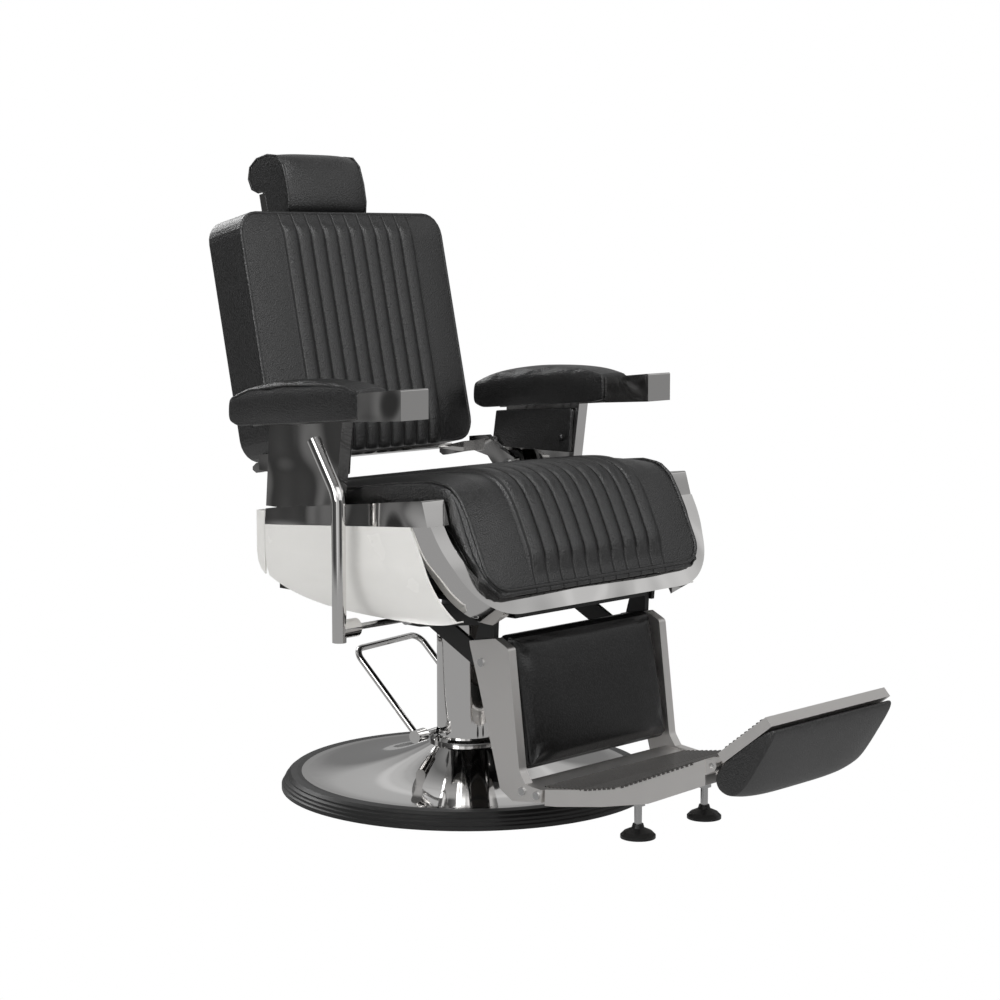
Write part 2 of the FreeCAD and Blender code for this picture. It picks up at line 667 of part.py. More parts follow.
# Seat: bearers between the side frames, a plywood board and the seat cushion that falls in front
seat_top = s.seat_z + s.seat_board_thick
bearer_wide = s.frame_in - s.seat_rear_half + 20
together("seat_bearers", [
    block("seat_bearer_%s" % hand, bearer_wide, 260, 12, low, -200, s.seat_z - 12)
    for hand, low in sides(s.frame_in - bearer_wide, bearer_wide)])
node(block("seat_board", 2 * s.seat_rear_half - 4, 424, s.seat_board_thick,
           2 - s.seat_rear_half, -240, s.seat_z), "seat_board")
cushion = plate("seat_cushion_blank", -s.seat_half, 2 * s.seat_half, [
    (228, seat_top), (228, s.seat_z + 26), (-170, s.seat_z + 86), (-225, s.seat_z + 89),
    (-250, s.seat_z + 75), (-285, s.seat_z + 13), (-318, s.seat_z - 57), (-335, s.seat_z - 85),
    (-300, s.seat_z - 89), (-262, s.seat_z - 17), (-245, seat_top)], rounds=[(20, [4])])
notches = [
    block("seat_notch_%s" % hand, 80, 300, 200, low, 70, s.seat_z - 20)
    for hand, low in sides(s.seat_rear_half, 80)]
notches += [
    block("seat_corner_%s" % hand, 60, 110, 72, low, -400, s.seat_z - 136)
    for hand, low in sides(s.seat_half - 24, 60)]
node(cut("seat_cushion", cushion, notches), "seat_cushion")

# Backrest: hinge arms with a crank below the pivot, a cross bar, a panel and the back cushion
arm_low = s.frame_in - 20
arm_thick = 14
hinge_step = 30
hinge_outline = [
    (104, 48), (58, 53), (22, 30), (-20, 12), (-22, -8), (-14, -30),
    (s.crank_y - 18, -s.crank_z), (s.crank_y - 12, -s.crank_z - 13), (s.crank_y + 12, -s.crank_z - 13),
    (s.crank_y + 18, -s.crank_z), (24, -20), (53, 12), (90, 20), (104, 20)]
hinge_bridge = [(90, 20), (90, 40.5), (104, 37.3), (104, 20)]
hinge_end = [(90, 20), (90, 40.5), (148, 27.5), (158, 20), (158, 14), (148, 9)]
shaft_y = s.back_pivot_y + s.crank_y
shaft_z = s.back_pivot_z - s.crank_z
hinge_arms = []
for hand, low in sides(arm_low, arm_thick):
    blank = plate("hinge_arm_%s_blank" % hand, low, arm_thick, hinge_outline,
                  s.back_pivot_y, s.back_pivot_z, rounds=[(6, [3, 4, 7, 8])])
    bridge_low = low - hinge_step if hand == "left" else low
    bridge = plate("hinge_bridge_%s" % hand, bridge_low, arm_thick + hinge_step, hinge_bridge,
                   s.back_pivot_y, s.back_pivot_z)
    end_low = low - hinge_step if hand == "left" else low + hinge_step
    end = plate("hinge_end_%s" % hand, end_low, arm_thick, hinge_end, s.back_pivot_y, s.back_pivot_z)
    blank = join("hinge_arm_%s_casting" % hand, [blank, bridge, end])
    holes = [
        rod("hinge_hole_%s" % hand, pivot_hole + s.running_fit, arm_thick + 20, low - 10,
            s.back_pivot_y, s.back_pivot_z),
        rod("crank_hole_%s" % hand, 8, arm_thick + 20, low - 10, shaft_y, shaft_z)]
    hinge_arms.append(cut("hinge_arm_%s" % hand, blank, holes))
together("hinge_arms", hinge_arms)
node(rod("crank_shaft", 8, 2 * (arm_low + arm_thick), -arm_low - arm_thick, shaft_y, shaft_z),
     "crank_shaft")


def on_back(name, wide, deep, tall, behind, up):
    """A block square to the leaning backrest, centred across it."""
    lean = math.radians(s.back_tilt.number)
    behind = size(behind)
    up = size(up)
    y = s.back_y + math.cos(lean) * behind + math.sin(lean) * up
    z = s.back_z - math.sin(lean) * behind + math.cos(lean) * up
    return block(name, wide, deep, tall, -0.5 * size(wide), y, z, -s.back_tilt)


node(on_back("back_cross_bar", 2 * (arm_low - hinge_step), 30, 7, 40, -7), "back_cross_bar")
node(on_back("back_cushion", 2 * s.back_half, s.back_foam - 0.5, s.back_tall, 0, 0.5), "back_cushion")


def back_board_shape():
    """The back panel: a board with rounded corners, stood on the backrest's lean."""
    half = s.back_half.number - 12
    low = FreeCAD.Vector(-half, s.back_foam.number, 12)
    board = Part.makeBox(2 * half, s.back_board.number, s.back_tall.number - 24, low)
    corners = [edge for edge in board.Edges if abs(edge.tangentAt(0).y) > 0.99]
    board = board.makeFillet(30, corners)
    spot = FreeCAD.Vector(0, s.back_y.number, s.back_z.number)
    place = FreeCAD.Placement(spot, FreeCAD.Rotation(X_AXIS, -s.back_tilt.number))
    return board.transformed(place.Matrix, copy=True)


board = coded("back_panel_blank", back_board_shape())
slot = on_back("back_panel_slot", 30.2, 8.2, 200, s.back_foam + 4, s.back_tall - 180)
node(cut("back_panel", board, [slot]), "back_panel")

# Headrest: a cranked flat bar that slides in the back panel, a chromed plate on it and the cushion
head_set = 18
head_body_deep = 0.65 * s.head_deep
head_up = s.back_tall + 3
node(join("headrest_bar", [
    on_back("headrest_bar_low", 30, 8, 162.5, s.back_foam + 4.1, s.back_tall - 160),
    on_back("headrest_bar_step", 30, head_set + 8, 5.5, s.back_foam + 4.1, s.back_tall - 3),
    on_back("headrest_bar_high", 30, 8, 66, s.back_foam + 4.1 + head_set, s.back_tall - 3)]), "headrest_bar")
head_channel = on_back("headrest_channel", 2 * s.head_half - 4, 20, 58, s.back_foam + 0.1 + head_set, head_up)
head_hollow = on_back("headrest_hollow", 2 * s.head_half - 12, 30, 80, s.back_foam + 4.1 + head_set,
                      head_up - 10)
node(cut("headrest_plate", head_channel, [head_hollow]), "headrest_plate")
head_front = s.back_foam - 0.4 + head_set - head_body_deep
head_body = on_back("headrest_body", 2 * s.head_half, head_body_deep, s.head_tall - 2,
                    head_front, head_up + 2)
head_lobe = on_back("headrest_lobe", 2 * s.head_half, s.head_deep, s.head_tall - 62,
                    head_front, head_up + 62)
node(join("headrest_cushion", [head_body, head_lobe]), "headrest_cushion")

# Recline links: flat bars that carry the crank's swing forward to the leg rest
link_deep = 8
link_high = 36
link_low = s.leg_in - 12
link_run_y = s.back_pivot_y.number - s.leg_pivot_y.number
link_run_z = s.back_pivot_z.number - s.leg_pivot_z.number
link_long = math.hypot(link_run_y, link_run_z)
link_rise = math.degrees(math.atan2(link_run_z, link_run_y))
bolt_radius = 7.7
toe_y = s.leg_pivot_y + s.crank_y
toe_z = s.leg_pivot_z - s.crank_z
links = []
for hand, low in sides(link_low, link_deep):
    end = link_high / 2
    bar = plate("link_bar_%s_blank" % hand, low, link_deep, [
        (-end, -end), (link_long + end, -end), (link_long + end, end), (-end, end)],
        toe_y, toe_z, link_rise, rounds=[(14, [0, 1, 2, 3])])
    holes = [rod("link_rear_hole_%s" % hand, 8 + s.running_fit, 30, low - 10, shaft_y, shaft_z),
             rod("link_front_hole_%s" % hand, bolt_radius + 0.35, 30, low - 10, toe_y, toe_z)]
    links.append(cut("link_bar_%s" % hand, bar, holes))
together("link_bars", links)
together("link_bolts", [
    rod("link_bolt_%s" % hand, bolt_radius, 14, low, toe_y, toe_z)
    for hand, low in sides(s.leg_in - 14, 14)])

# Leg rest: cast arms hung on lugs, two cross bars, a board and the upholstered pad
leg_outline = [
    (40, -47), (-22, -36), (-52, -50), (-78, -256), (-92, -276), (-130, -280), (-127, -302),
    (-62, -310), (-33, -294), (18, -119), (38, -57)]
lug_outline = [
    (30, -45.226), (-15, -37.242), (-17, 0), (-12, 12), (0, 17), (12, 12), (17, 0)]
legs = []
lugs = []
for hand, low in sides(s.leg_in, s.leg_wide):
    legs.append(plate("leg_arm_%s" % hand, low, s.leg_wide, leg_outline, s.leg_pivot_y, s.leg_pivot_z,
                      rounds=[(8, [2]), (20, [3])]))
for hand, low in sides(s.leg_in + 3, s.leg_wide - 7):
    blank = plate("leg_lug_%s_blank" % hand, low, s.leg_wide - 7, lug_outline,
                  s.leg_pivot_y, s.leg_pivot_z)
    hole = rod("lug_hole_%s" % hand, pivot_hole + s.running_fit, s.leg_wide + 20, low - 10,
               s.leg_pivot_y, s.leg_pivot_z)
    lugs.append(cut("leg_lug_%s" % hand, blank, [hole]))
together("leg_arms", legs)
together("leg_lugs", lugs)
leg_lean = 11.06
leg_face_y = -73
leg_face_z = -258


def on_leg(name, wide, deep, tall, behind, up):
    """A block square to the leg rest's front face, centred across it."""
    lean = math.radians(leg_lean)
    behind = size(behind)
    y = s.leg_pivot_y + leg_face_y + math.cos(lean) * behind + math.sin(lean) * up
    z = s.leg_pivot_z + leg_face_z - math.sin(lean) * behind + math.cos(lean) * up
    return block(name, wide, deep, tall, -0.5 * size(wide), y, z, -leg_lean)


board_thick = 8
leg_proud = 10
leg_back = s.leg_foam - leg_proud
leg_back_half = s.leg_pad_half - 12
node(join("legrest_pad", [
    on_leg("legrest_pad_front", 2 * s.leg_pad_half, 24, 230, -leg_proud, 0),
    on_leg("legrest_pad_rear", 2 * leg_back_half, s.leg_foam - 24, 230, 24 - leg_proud, 0)]), "legrest_pad")
node(on_leg("legrest_board", 2 * leg_back_half - 8, board_thick, 216, leg_back, 4), "legrest_board")
together("leg_crossbars", [
    on_leg("leg_crossbar_%s" % place, 2 * s.leg_in, 6, 30, leg_back + board_thick, up)
    for place, up in (("low", 20), ("high", 108))])
together("leg_screws", [
    rod("leg_screw_%s_%s" % (hand, place), 7, 3, low, s.leg_pivot_y + y, s.leg_pivot_z + z)
    for place, y, z in (("link", 11, -81), ("toe", -85, -289), ("tip", -118, -291))
    for hand, low in sides(s.leg_in + s.leg_wide, 3)])

# Footplate: a cast deck between the toes, hollow below, with hinge lugs at its front
deck_top = [(-318, 90), (-361, 86), (-458, 100), (-531, 115), (-691, 185)]
deck_low = [(-692, 143), (-584, 96), (-495, 77), (-403, 63), (-362, 60), (-318, 62)]
hinge_y = s.flap_y.number
hinge_z = s.flap_z.number
pin_radius = 5
ear_wide = 26
ear_in = s.flap_half.number - 50


def prism_across(points):
    """A side outline drawn right across the footplate."""
    corners = [FreeCAD.Vector(-260, y, z) for y, z in points]
    return Part.Face(Part.makePolygon(corners + corners[:1])).extrude(FreeCAD.Vector(520, 0, 0))


def prism_up(half):
    """A plan outline, given along one side from rear to front, drawn up through the footplate."""
    ring = half + [(-x, y) for x, y in reversed(half)]
    corners = [FreeCAD.Vector(x, y, 0) for x, y in ring]
    return Part.Face(Part.makePolygon(corners + corners[:1])).extrude(FreeCAD.Vector(0, 0, 400))


def footplate_shape():
    """The deck casting with its hollow underside, glide bosses and hinge lugs."""
    toe = s.leg_in.number
    wide = toe + 13
    tip = s.flap_half.number + 4
    shape = prism_across(deck_top + deck_low)
    shape = shape.common(prism_up([(toe, -310), (toe, -379.5), (wide, -379.5), (tip, -700)]))
    under = [(y, z - 7) for y, z in deck_top[1:]]
    under[-1] = (-682, 174)
    hollow = prism_across([(-330, 78)] + under + [(-682, 40), (-330, 40)])
    shape = shape.cut(hollow.common(
        prism_up([(toe - 10, -330), (toe - 10, -388), (wide - 10, -388), (tip - 10, -682)])))
    for x in (-s.foot_x.number, s.foot_x.number):
        boss = Part.makeCylinder(15, 26, FreeCAD.Vector(x, s.foot_y.number, 76))
        shape = shape.fuse(boss)
    for low in (-tip, tip - 24):
        lug = prism_across([(-680, 178), (-688, 184), (hinge_y, hinge_z + 10), (hinge_y - 8, hinge_z + 6),
                            (hinge_y - 10, hinge_z), (hinge_y - 7, hinge_z - 7), (hinge_y, hinge_z - 10),
                            (-690, 158), (-680, 160)])
        slab = Part.makeBox(24, 400, 400, FreeCAD.Vector(low, -800, 0))
        shape = shape.fuse(lug.common(slab))
    for low in (-ear_in - ear_wide - 2, ear_in - 2):
        swing = Part.makeCylinder(24, ear_wide + 4, FreeCAD.Vector(low, hinge_y, hinge_z), X_AXIS)
        shape = shape.cut(swing)
    pin = Part.makeCylinder(pin_radius, 600, FreeCAD.Vector(-300, hinge_y, hinge_z), X_AXIS)
    return shape.cut(pin).removeSplitter()


node(coded("footplate", footplate_shape()), "footplate")
node(rod("flap_pin", pin_radius, 2 * s.flap_half, -s.flap_half, s.flap_y, s.flap_z), "flap_pin")

# Floor glides: studs with lock nuts under the footplate, on coned rubber feet
stud_radius = 6.5
studs = []
feet = []
for hand, x in (("right", -s.foot_x), ("left", s.foot_x)):
    studs.append(rod("foot_stud_%s" % hand, stud_radius, 47, x, s.foot_y, 29, Z_AXIS, 0))
    nut = doc.addObject("Part::Prism", "foot_nut_%s_blank" % hand)
    nut.Polygon = 6
    nut.Circumradius = 12
    nut.Height = 10
    put(nut, x, s.foot_y, 60)
    studs.append(cut("foot_nut_%s" % hand, nut, [
        rod("foot_nut_hole_%s" % hand, stud_radius, 30, x, s.foot_y, 50, Z_AXIS, 0)]))
    feet.append(turned("foot_pad_%s" % hand, [
        (0, 5), (30, 5), (30, 10), (24, 16), (11, 22), (9, 29), (0, 29)], x, s.foot_y))
together("foot_studs", studs)
together("foot_pads", feet)

# Flap: a ribbed deck plate hinged at the front, with a pad under it
flap_deck = plate("flap_deck", -s.flap_half, 2 * s.flap_half, [
    (-20, 6.8), (-9, 21), (-102, 93), (-114, 80)], s.flap_y, s.flap_z)
flap_ears = [
    plate("flap_ear_%s" % hand, low, ear_wide, [
        (-20, 6.8), (-11, 18.5), (0, 9.5), (8, 4), (8, -4), (0, -9), (-8, -5)], s.flap_y, s.flap_z)
    for hand, low in sides(s.flap_half - 50, ear_wide)]
flap_bore = rod("flap_bore", pin_radius + s.running_fit, 600, -300, s.flap_y, s.flap_z)
node(cut("flap_plate", join("flap_casting", [flap_deck] + flap_ears), [flap_bore]), "flap_plate")
node(plate("flap_pad", -s.flap_half, 2 * s.flap_half, [
    (-113, 78.8), (-20, 6.8), (-10, -13), (-14, -32), (-42, -37), (-80, 3), (-121, 66)],
    s.flap_y, s.flap_z), "flap_pad")

# Recline lever: a bent tube with a hub on a cross shaft under the right side
tube_radius = 12.2
lever_x = s.lever_x.number
lever_y = s.lever_y.number
lever_z = s.lever_z.number
tube_wall = 2.2


def lever_path(trim):
    """The lever's line from its foot to its grip, stopped short of both ends by a trim."""
    return [(lever_x, lever_y, lever_z - 22 + trim), (lever_x, lever_y, lever_z + 229),
            (lever_x, lever_y + 60 - 0.55 * trim, lever_z + 320 - 0.83 * trim)]


tube = swept_rod(lever_path(0), tube_radius, 60)
tube = tube.cut(swept_rod(lever_path(5), tube_radius - tube_wall, 60))
hub = Part.makeCylinder(16, 38, FreeCAD.Vector(lever_x, lever_y, lever_z), X_AXIS)
shaft_hole = Part.makeCylinder(shaft_radius, 60, FreeCAD.Vector(lever_x, lever_y, lever_z), X_AXIS)
node(coded("lever_tube", tube.fuse(hub).cut(shaft_hole)), "lever_tube")
shaft_end = s.leg_in + 5
shaft = rod("lever_rod", shaft_radius, -s.lever_x - shaft_end, s.lever_x, s.lever_y, s.lever_z)
stop_ring = rod("lever_stop", 11, 12, -bracket_in - 24, s.lever_y, s.lever_z)
node(join("lever_shaft", [shaft, stop_ring]), "lever_shaft")

# Check every piece and write one file for each
doc.recompute()
os.makedirs("parts", exist_ok=True)
for piece in doc.Objects:
    state = [word for word in piece.State if word in ("Invalid", "Error")]
    if state:
        raise RuntimeError("%s did not compute" % piece.Label)
for name, piece in nodes.items():
    shape = piece.Shape
    if shape.isNull() or not shape.isValid() or not shape.Solids:
        raise RuntimeError("%s is not a sound solid" % name)
    shape.exportStep("parts/%s.step" % name)
print("%d sub-parts" % len(nodes))
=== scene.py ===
import math

import bpy
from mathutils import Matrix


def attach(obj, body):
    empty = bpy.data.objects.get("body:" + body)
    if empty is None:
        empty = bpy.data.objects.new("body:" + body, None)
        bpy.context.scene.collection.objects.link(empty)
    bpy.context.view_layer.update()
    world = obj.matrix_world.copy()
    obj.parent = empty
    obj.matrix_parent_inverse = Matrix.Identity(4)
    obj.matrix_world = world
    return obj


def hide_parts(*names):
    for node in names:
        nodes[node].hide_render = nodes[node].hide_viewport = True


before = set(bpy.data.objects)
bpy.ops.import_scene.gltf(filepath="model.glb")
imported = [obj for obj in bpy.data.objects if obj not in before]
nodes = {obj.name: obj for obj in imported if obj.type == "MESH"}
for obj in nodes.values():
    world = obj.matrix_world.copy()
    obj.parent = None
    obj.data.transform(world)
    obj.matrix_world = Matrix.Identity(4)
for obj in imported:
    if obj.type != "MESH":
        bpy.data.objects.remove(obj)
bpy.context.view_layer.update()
scene = bpy.context.scene

# Camera: a little below the headrest, off the chair's front right corner, with a long lens, so
# that the chair stands as the photograph has it.
bpy.ops.object.camera_add(
    location=(-2.89759, -2.84618, 0.99788),
    rotation=(math.radians(83.425), 0, math.radians(-46.355)))
camera = bpy.context.object
camera.data.sensor_width = 36
camera.data.lens = 80.255
scene.camera = camera
scene.view_settings.view_transform = "Standard"

# Room: white to the eye, while polished metal sees a dark studio with a few pale screens, set
# by compass direction and by height.
world = bpy.data.worlds.new("studio")
scene.world = world
world.use_nodes = True
tree = world.node_tree
tree.nodes.clear()
out = tree.nodes.new("ShaderNodeOutputWorld")
path = tree.nodes.new("ShaderNodeLightPath")
where = tree.nodes.new("ShaderNodeTexCoord")
split = tree.nodes.new("ShaderNodeSeparateXYZ")
climb = tree.nodes.new("ShaderNodeMapRange")
climb.inputs["From Min"].default_value = -1
compass = tree.nodes.new("ShaderNodeTexGradient")
compass.gradient_type = "RADIAL"
screens = tree.nodes.new("ShaderNodeValToRGB")
for spot, grey in (
        (0.0, 0.1), (0.035, 0.12), (0.05, 0.8), (0.09, 0.8), (0.1, 0.3), (0.13, 0.55), (0.16, 0.5),
        (0.175, 0.06), (0.25, 0.06), (0.29, 0.2), (0.34, 0.28), (0.42, 0.28), (0.47, 0.12),
        (0.55, 0.06), (0.59, 0.2), (0.65, 0.2), (0.69, 0.05), (0.78, 0.05), (0.8, 0.42),
        (0.825, 0.42), (0.84, 0.06), (0.863, 0.04), (0.872, 0.12), (0.882, 0.18), (0.889, 0.03),
        (0.93, 0.05)):
    if spot == 0.0:
        step = screens.color_ramp.elements[0]
    else:
        step = screens.color_ramp.elements.new(spot)
    step.color = (grey, grey, grey, 1)
screens.color_ramp.elements[-1].color = (0.1, 0.1, 0.1, 1)
heights = tree.nodes.new("ShaderNodeValToRGB")
heights.color_ramp.elements[0].color = (0.55, 0.55, 0.55, 1)
heights.color_ramp.elements[1].color = (0.5, 0.5, 0.5, 1)
for spot, grey in ((0.3, 0.42), (0.4, 0.2), (0.43, 1.0), (0.6, 1.0), (0.64, 2.2),
                   (0.7, 2.4), (0.735, 1.0), (0.77, 0.5), (0.85, 0.15)):
    heights.color_ramp.elements.new(spot).color = (grey, grey, grey, 1)
blend = tree.nodes.new("ShaderNodeMix")
blend.data_type = "RGBA"
blend.blend_type = "MULTIPLY"
blend.inputs["Factor"].default_value = 1
level = tree.nodes.new("ShaderNodeValToRGB")
level.color_ramp.elements[0].color = (0, 0, 0, 1)
level.color_ramp.elements[1].color = (0, 0, 0, 1)
for spot, part in ((0.36, 0.0), (0.42, 1.0), (0.7, 1.0), (0.78, 0.0)):
    level.color_ramp.elements.new(spot).color = (part, part, part, 1)
choice = tree.nodes.new("ShaderNodeMix")
choice.data_type = "RGBA"
seen = tree.nodes.new("ShaderNodeBackground")
seen.inputs["Color"].default_value = (1, 1, 1, 1)
gloss = tree.nodes.new("ShaderNodeBackground")
soft = tree.nodes.new("ShaderNodeBackground")
soft.inputs["Color"].default_value = (1, 1, 1, 1)
soft.inputs["Strength"].default_value = 0.34
by_gloss = tree.nodes.new("ShaderNodeMixShader")
by_eye = tree.nodes.new("ShaderNodeMixShader")
tree.links.new(where.outputs["Generated"], split.inputs[0])
tree.links.new(where.outputs["Generated"], compass.inputs["Vector"])
tree.links.new(split.outputs["Z"], climb.inputs["Value"])
tree.links.new(climb.outputs["Result"], heights.inputs["Fac"])
tree.links.new(climb.outputs["Result"], level.inputs["Fac"])
tree.links.new(compass.outputs["Fac"], screens.inputs["Fac"])
tree.links.new(screens.outputs["Color"], blend.inputs["A"])
tree.links.new(heights.outputs["Color"], blend.inputs["B"])
tree.links.new(level.outputs["Color"], choice.inputs["Factor"])
tree.links.new(heights.outputs["Color"], choice.inputs["A"])
tree.links.new(blend.outputs["Result"], choice.inputs["B"])
tree.links.new(choice.outputs["Result"], gloss.inputs["Color"])
tree.links.new(path.outputs["Is Glossy Ray"], by_gloss.inputs["Fac"])
tree.links.new(soft.outputs[0], by_gloss.inputs[1])
tree.links.new(gloss.outputs[0], by_gloss.inputs[2])
tree.links.new(path.outputs["Is Camera Ray"], by_eye.inputs["Fac"])
tree.links.new(by_gloss.outputs[0], by_eye.inputs[1])
tree.links.new(seen.outputs[0], by_eye.inputs[2])
tree.links.new(by_eye.outputs[0], out.inputs["Surface"])

# Floor: a plain white sweep that runs out of sight and carries no shadow to the eye. Polished
# metal sees it as a pale sheet that ends a few metres out.
bpy.ops.mesh.primitive_plane_add(size=14, location=(0, 0, -0.002))
floor = bpy.context.object
floor.name = "floor"
paint = bpy.data.materials.new("floor_white")
paint.use_nodes = True
tree = paint.node_tree
base = tree.nodes["Principled BSDF"]
base.inputs["Base Color"].default_value = (0.8, 0.8, 0.8, 1)
base.inputs["Roughness"].default_value = 0.9
glow = tree.nodes.new("ShaderNodeEmission")
glow.inputs["Strength"].default_value = 1.0
clear = tree.nodes.new("ShaderNodeBsdfTransparent")
ray = tree.nodes.new("ShaderNodeLightPath")
sheet = tree.nodes.new("ShaderNodeEmission")
sheet.inputs["Strength"].default_value = 0.38
sheet_spot = tree.nodes.new("ShaderNodeTexCoord")
sheet_reach = tree.nodes.new("ShaderNodeVectorMath")
sheet_reach.operation = "LENGTH"
sheet_end = tree.nodes.new("ShaderNodeMapRange")
sheet_end.inputs["From Min"].default_value = 3.0
sheet_end.inputs["From Max"].default_value = 3.5
in_sheet = tree.nodes.new("ShaderNodeMixShader")
tree.links.new(sheet_spot.outputs["Object"], sheet_reach.inputs[0])
tree.links.new(sheet_reach.outputs["Value"], sheet_end.inputs["Value"])
tree.links.new(sheet_end.outputs["Result"], in_sheet.inputs["Fac"])
tree.links.new(sheet.outputs[0], in_sheet.inputs[1])
tree.links.new(clear.outputs[0], in_sheet.inputs[2])
in_metal = tree.nodes.new("ShaderNodeMixShader")
to_eye = tree.nodes.new("ShaderNodeMixShader")
tree.links.new(ray.outputs["Is Glossy Ray"], in_metal.inputs["Fac"])
tree.links.new(base.outputs[0], in_metal.inputs[1])
tree.links.new(in_sheet.outputs[0], in_metal.inputs[2])
tree.links.new(ray.outputs["Is Camera Ray"], to_eye.inputs["Fac"])
tree.links.new(in_metal.outputs[0], to_eye.inputs[1])
tree.links.new(glow.outputs[0], to_eye.inputs[2])
tree.links.new(to_eye.outputs[0], tree.nodes["Material Output"].inputs["Surface"])
floor.data.materials.append(paint)

# Studio lamps: soft boxes round the chair, each turned to face its middle. Two of them light
# the chair without showing in its metal.
for name, spot, wide, tall, watts in (
        ("box_left", (-2.9, -0.4, 1.5), 1.0, 1.8, 18),
        ("box_front", (-0.3, -3.4, 2.2), 3.4, 2.2, 19),
        ("box_over", (-0.2, -1.5, 3.4), 1.8, 1.4, 64),
        ("box_right", (2.6, -1.6, 1.3), 0.8, 1.8, 18),
        ("box_back", (0.4, 2.8, 2.0), 1.4, 1.0, 16),
        ("box_top", (-0.9, -0.6, 3.2), 1.6, 1.6, 20)):
    bpy.ops.object.light_add(type="AREA", location=spot)
    lamp = bpy.context.object
    lamp.name = name
    lamp.data.shape = "RECTANGLE"
    lamp.data.size = wide
    lamp.data.size_y = tall
    lamp.data.energy = watts
    lamp.visible_glossy = name not in ("box_right", "box_over")
    away = lamp.location - lamp.location.__class__((0, 0, 0.6))
    lamp.rotation_euler = away.to_track_quat("Z", "Y").to_euler()


# Metal and plastic finishes: polished chrome, polished and satin castings, bright and black
# steel, moulded off-white plastic and black rubber, each a shade uneven as made.
def unevenness():
    """A shared group that gives a value drifting between two ends over the surface."""
    group = bpy.data.node_groups.new("unevenness", "ShaderNodeTree")
    for name in ("Scale", "Detail", "Low", "High"):
        group.interface.new_socket(name, in_out="INPUT", socket_type="NodeSocketFloat")
    group.interface.new_socket("Value", in_out="OUTPUT", socket_type="NodeSocketFloat")
    enter = group.nodes.new("NodeGroupInput")
    leave = group.nodes.new("NodeGroupOutput")
    spot = group.nodes.new("ShaderNodeTexCoord")
    cloud = group.nodes.new("ShaderNodeTexNoise")
    span = group.nodes.new("ShaderNodeMapRange")
    group.links.new(spot.outputs["Object"], cloud.inputs["Vector"])
    group.links.new(enter.outputs["Scale"], cloud.inputs["Scale"])
    group.links.new(enter.outputs["Detail"], cloud.inputs["Detail"])
    group.links.new(cloud.outputs["Fac"], span.inputs["Value"])
    group.links.new(enter.outputs["Low"], span.inputs["To Min"])
    group.links.new(enter.outputs["High"], span.inputs["To Max"])
    group.links.new(span.outputs["Result"], leave.inputs["Value"])
    return group


drift = unevenness()


def finish(name, colour, metallic, smooth, rough, scale, swell=0.0):
    """A hard finish whose roughness drifts between two ends, over a surface that may swell."""
    made = bpy.data.materials.new(name)
    made.use_nodes = True
    shader = made.node_tree.nodes["Principled BSDF"]
    shader.inputs["Base Color"].default_value = (*colour, 1)
    shader.inputs["Metallic"].default_value = metallic
    value = made.node_tree.nodes.new("ShaderNodeGroup")
    value.node_tree = drift
    value.inputs["Scale"].default_value = scale
    value.inputs["Detail"].default_value = 3
    value.inputs["Low"].default_value = smooth
    value.inputs["High"].default_value = rough
    made.node_tree.links.new(value.outputs["Value"], shader.inputs["Roughness"])
    if swell:
        wave = made.node_tree.nodes.new("ShaderNodeGroup")
        wave.node_tree = drift
        wave.inputs["Scale"].default_value = 9
        wave.inputs["High"].default_value = 1
        lie = made.node_tree.nodes.new("ShaderNodeBump")
        lie.inputs["Strength"].default_value = 1
        lie.inputs["Distance"].default_value = swell
        made.node_tree.links.new(wave.outputs["Value"], lie.inputs["Height"])
        made.node_tree.links.new(lie.outputs["Normal"], shader.inputs["Normal"])
    return made


def wear(material, *names):
    """Give CAD pieces their finish."""
    for name in names:
        piece = nodes[name]
        piece.data.materials.clear()
        piece.data.materials.append(material)


chrome = finish("chrome", (0.78, 0.77, 0.76), 1, 0.03, 0.08, 6)
polished = finish("cast_polished", (0.74, 0.73, 0.72), 1, 0.05, 0.1, 9, 0.01)
satin = finish("cast_satin", (0.86, 0.84, 0.82), 1, 0.38, 0.5, 40)
bright = finish("steel_bright", (0.6, 0.6, 0.6), 1, 0.18, 0.3, 30)
black = finish("steel_black", (0.012, 0.012, 0.012), 0, 0.35, 0.5, 20)
white = finish("plastic_white", (0.86, 0.85, 0.82), 0, 0.22, 0.3, 12)
rubber = finish("rubber_black", (0.012, 0.012, 0.012), 0, 0.3, 0.42, 25)
wood = finish("board", (0.035, 0.03, 0.026), 0, 0.5, 0.7, 15)
wear(chrome, "base_dish", "column_cover", "column_collar", "pedal_loop", "lever_tube",
     "headrest_plate", "back_cross_bar")
wear(polished, "side_rail_left", "side_rail_right", "front_hoop", "arm_panel_left",
     "arm_panel_right", "arm_nose_left", "arm_nose_right", "hinge_arms")
wear(satin, "leg_arms", "footplate", "flap_plate")
wear(bright, "pump_cylinder", "pump_ram", "pedal_axle", "pivot_pins", "crank_shaft",
     "headrest_bar", "link_bolts", "leg_screws", "flap_pin", "foot_studs", "lever_shaft")
wear(black, "pump_block", "swivel_head", "seat_mount_plate", "chassis_beams",
     "rear_crossbeam", "front_crossbeam", "front_underbar", "leg_brackets", "side_frames",
     "seat_bearers", "link_bars", "leg_lugs", "leg_crossbars", "base_weight",
     "seat_cushion", "back_cushion", "headrest_cushion", "arm_pad_left", "arm_pad_right",
     "arm_inner_pads", "legrest_pad", "flap_pad")
wear(white, "side_panel_left", "side_panel_right", "rear_cover")
wear(rubber, "base_ring", "foot_pads")
wear(wood, "seat_board", "legrest_board")

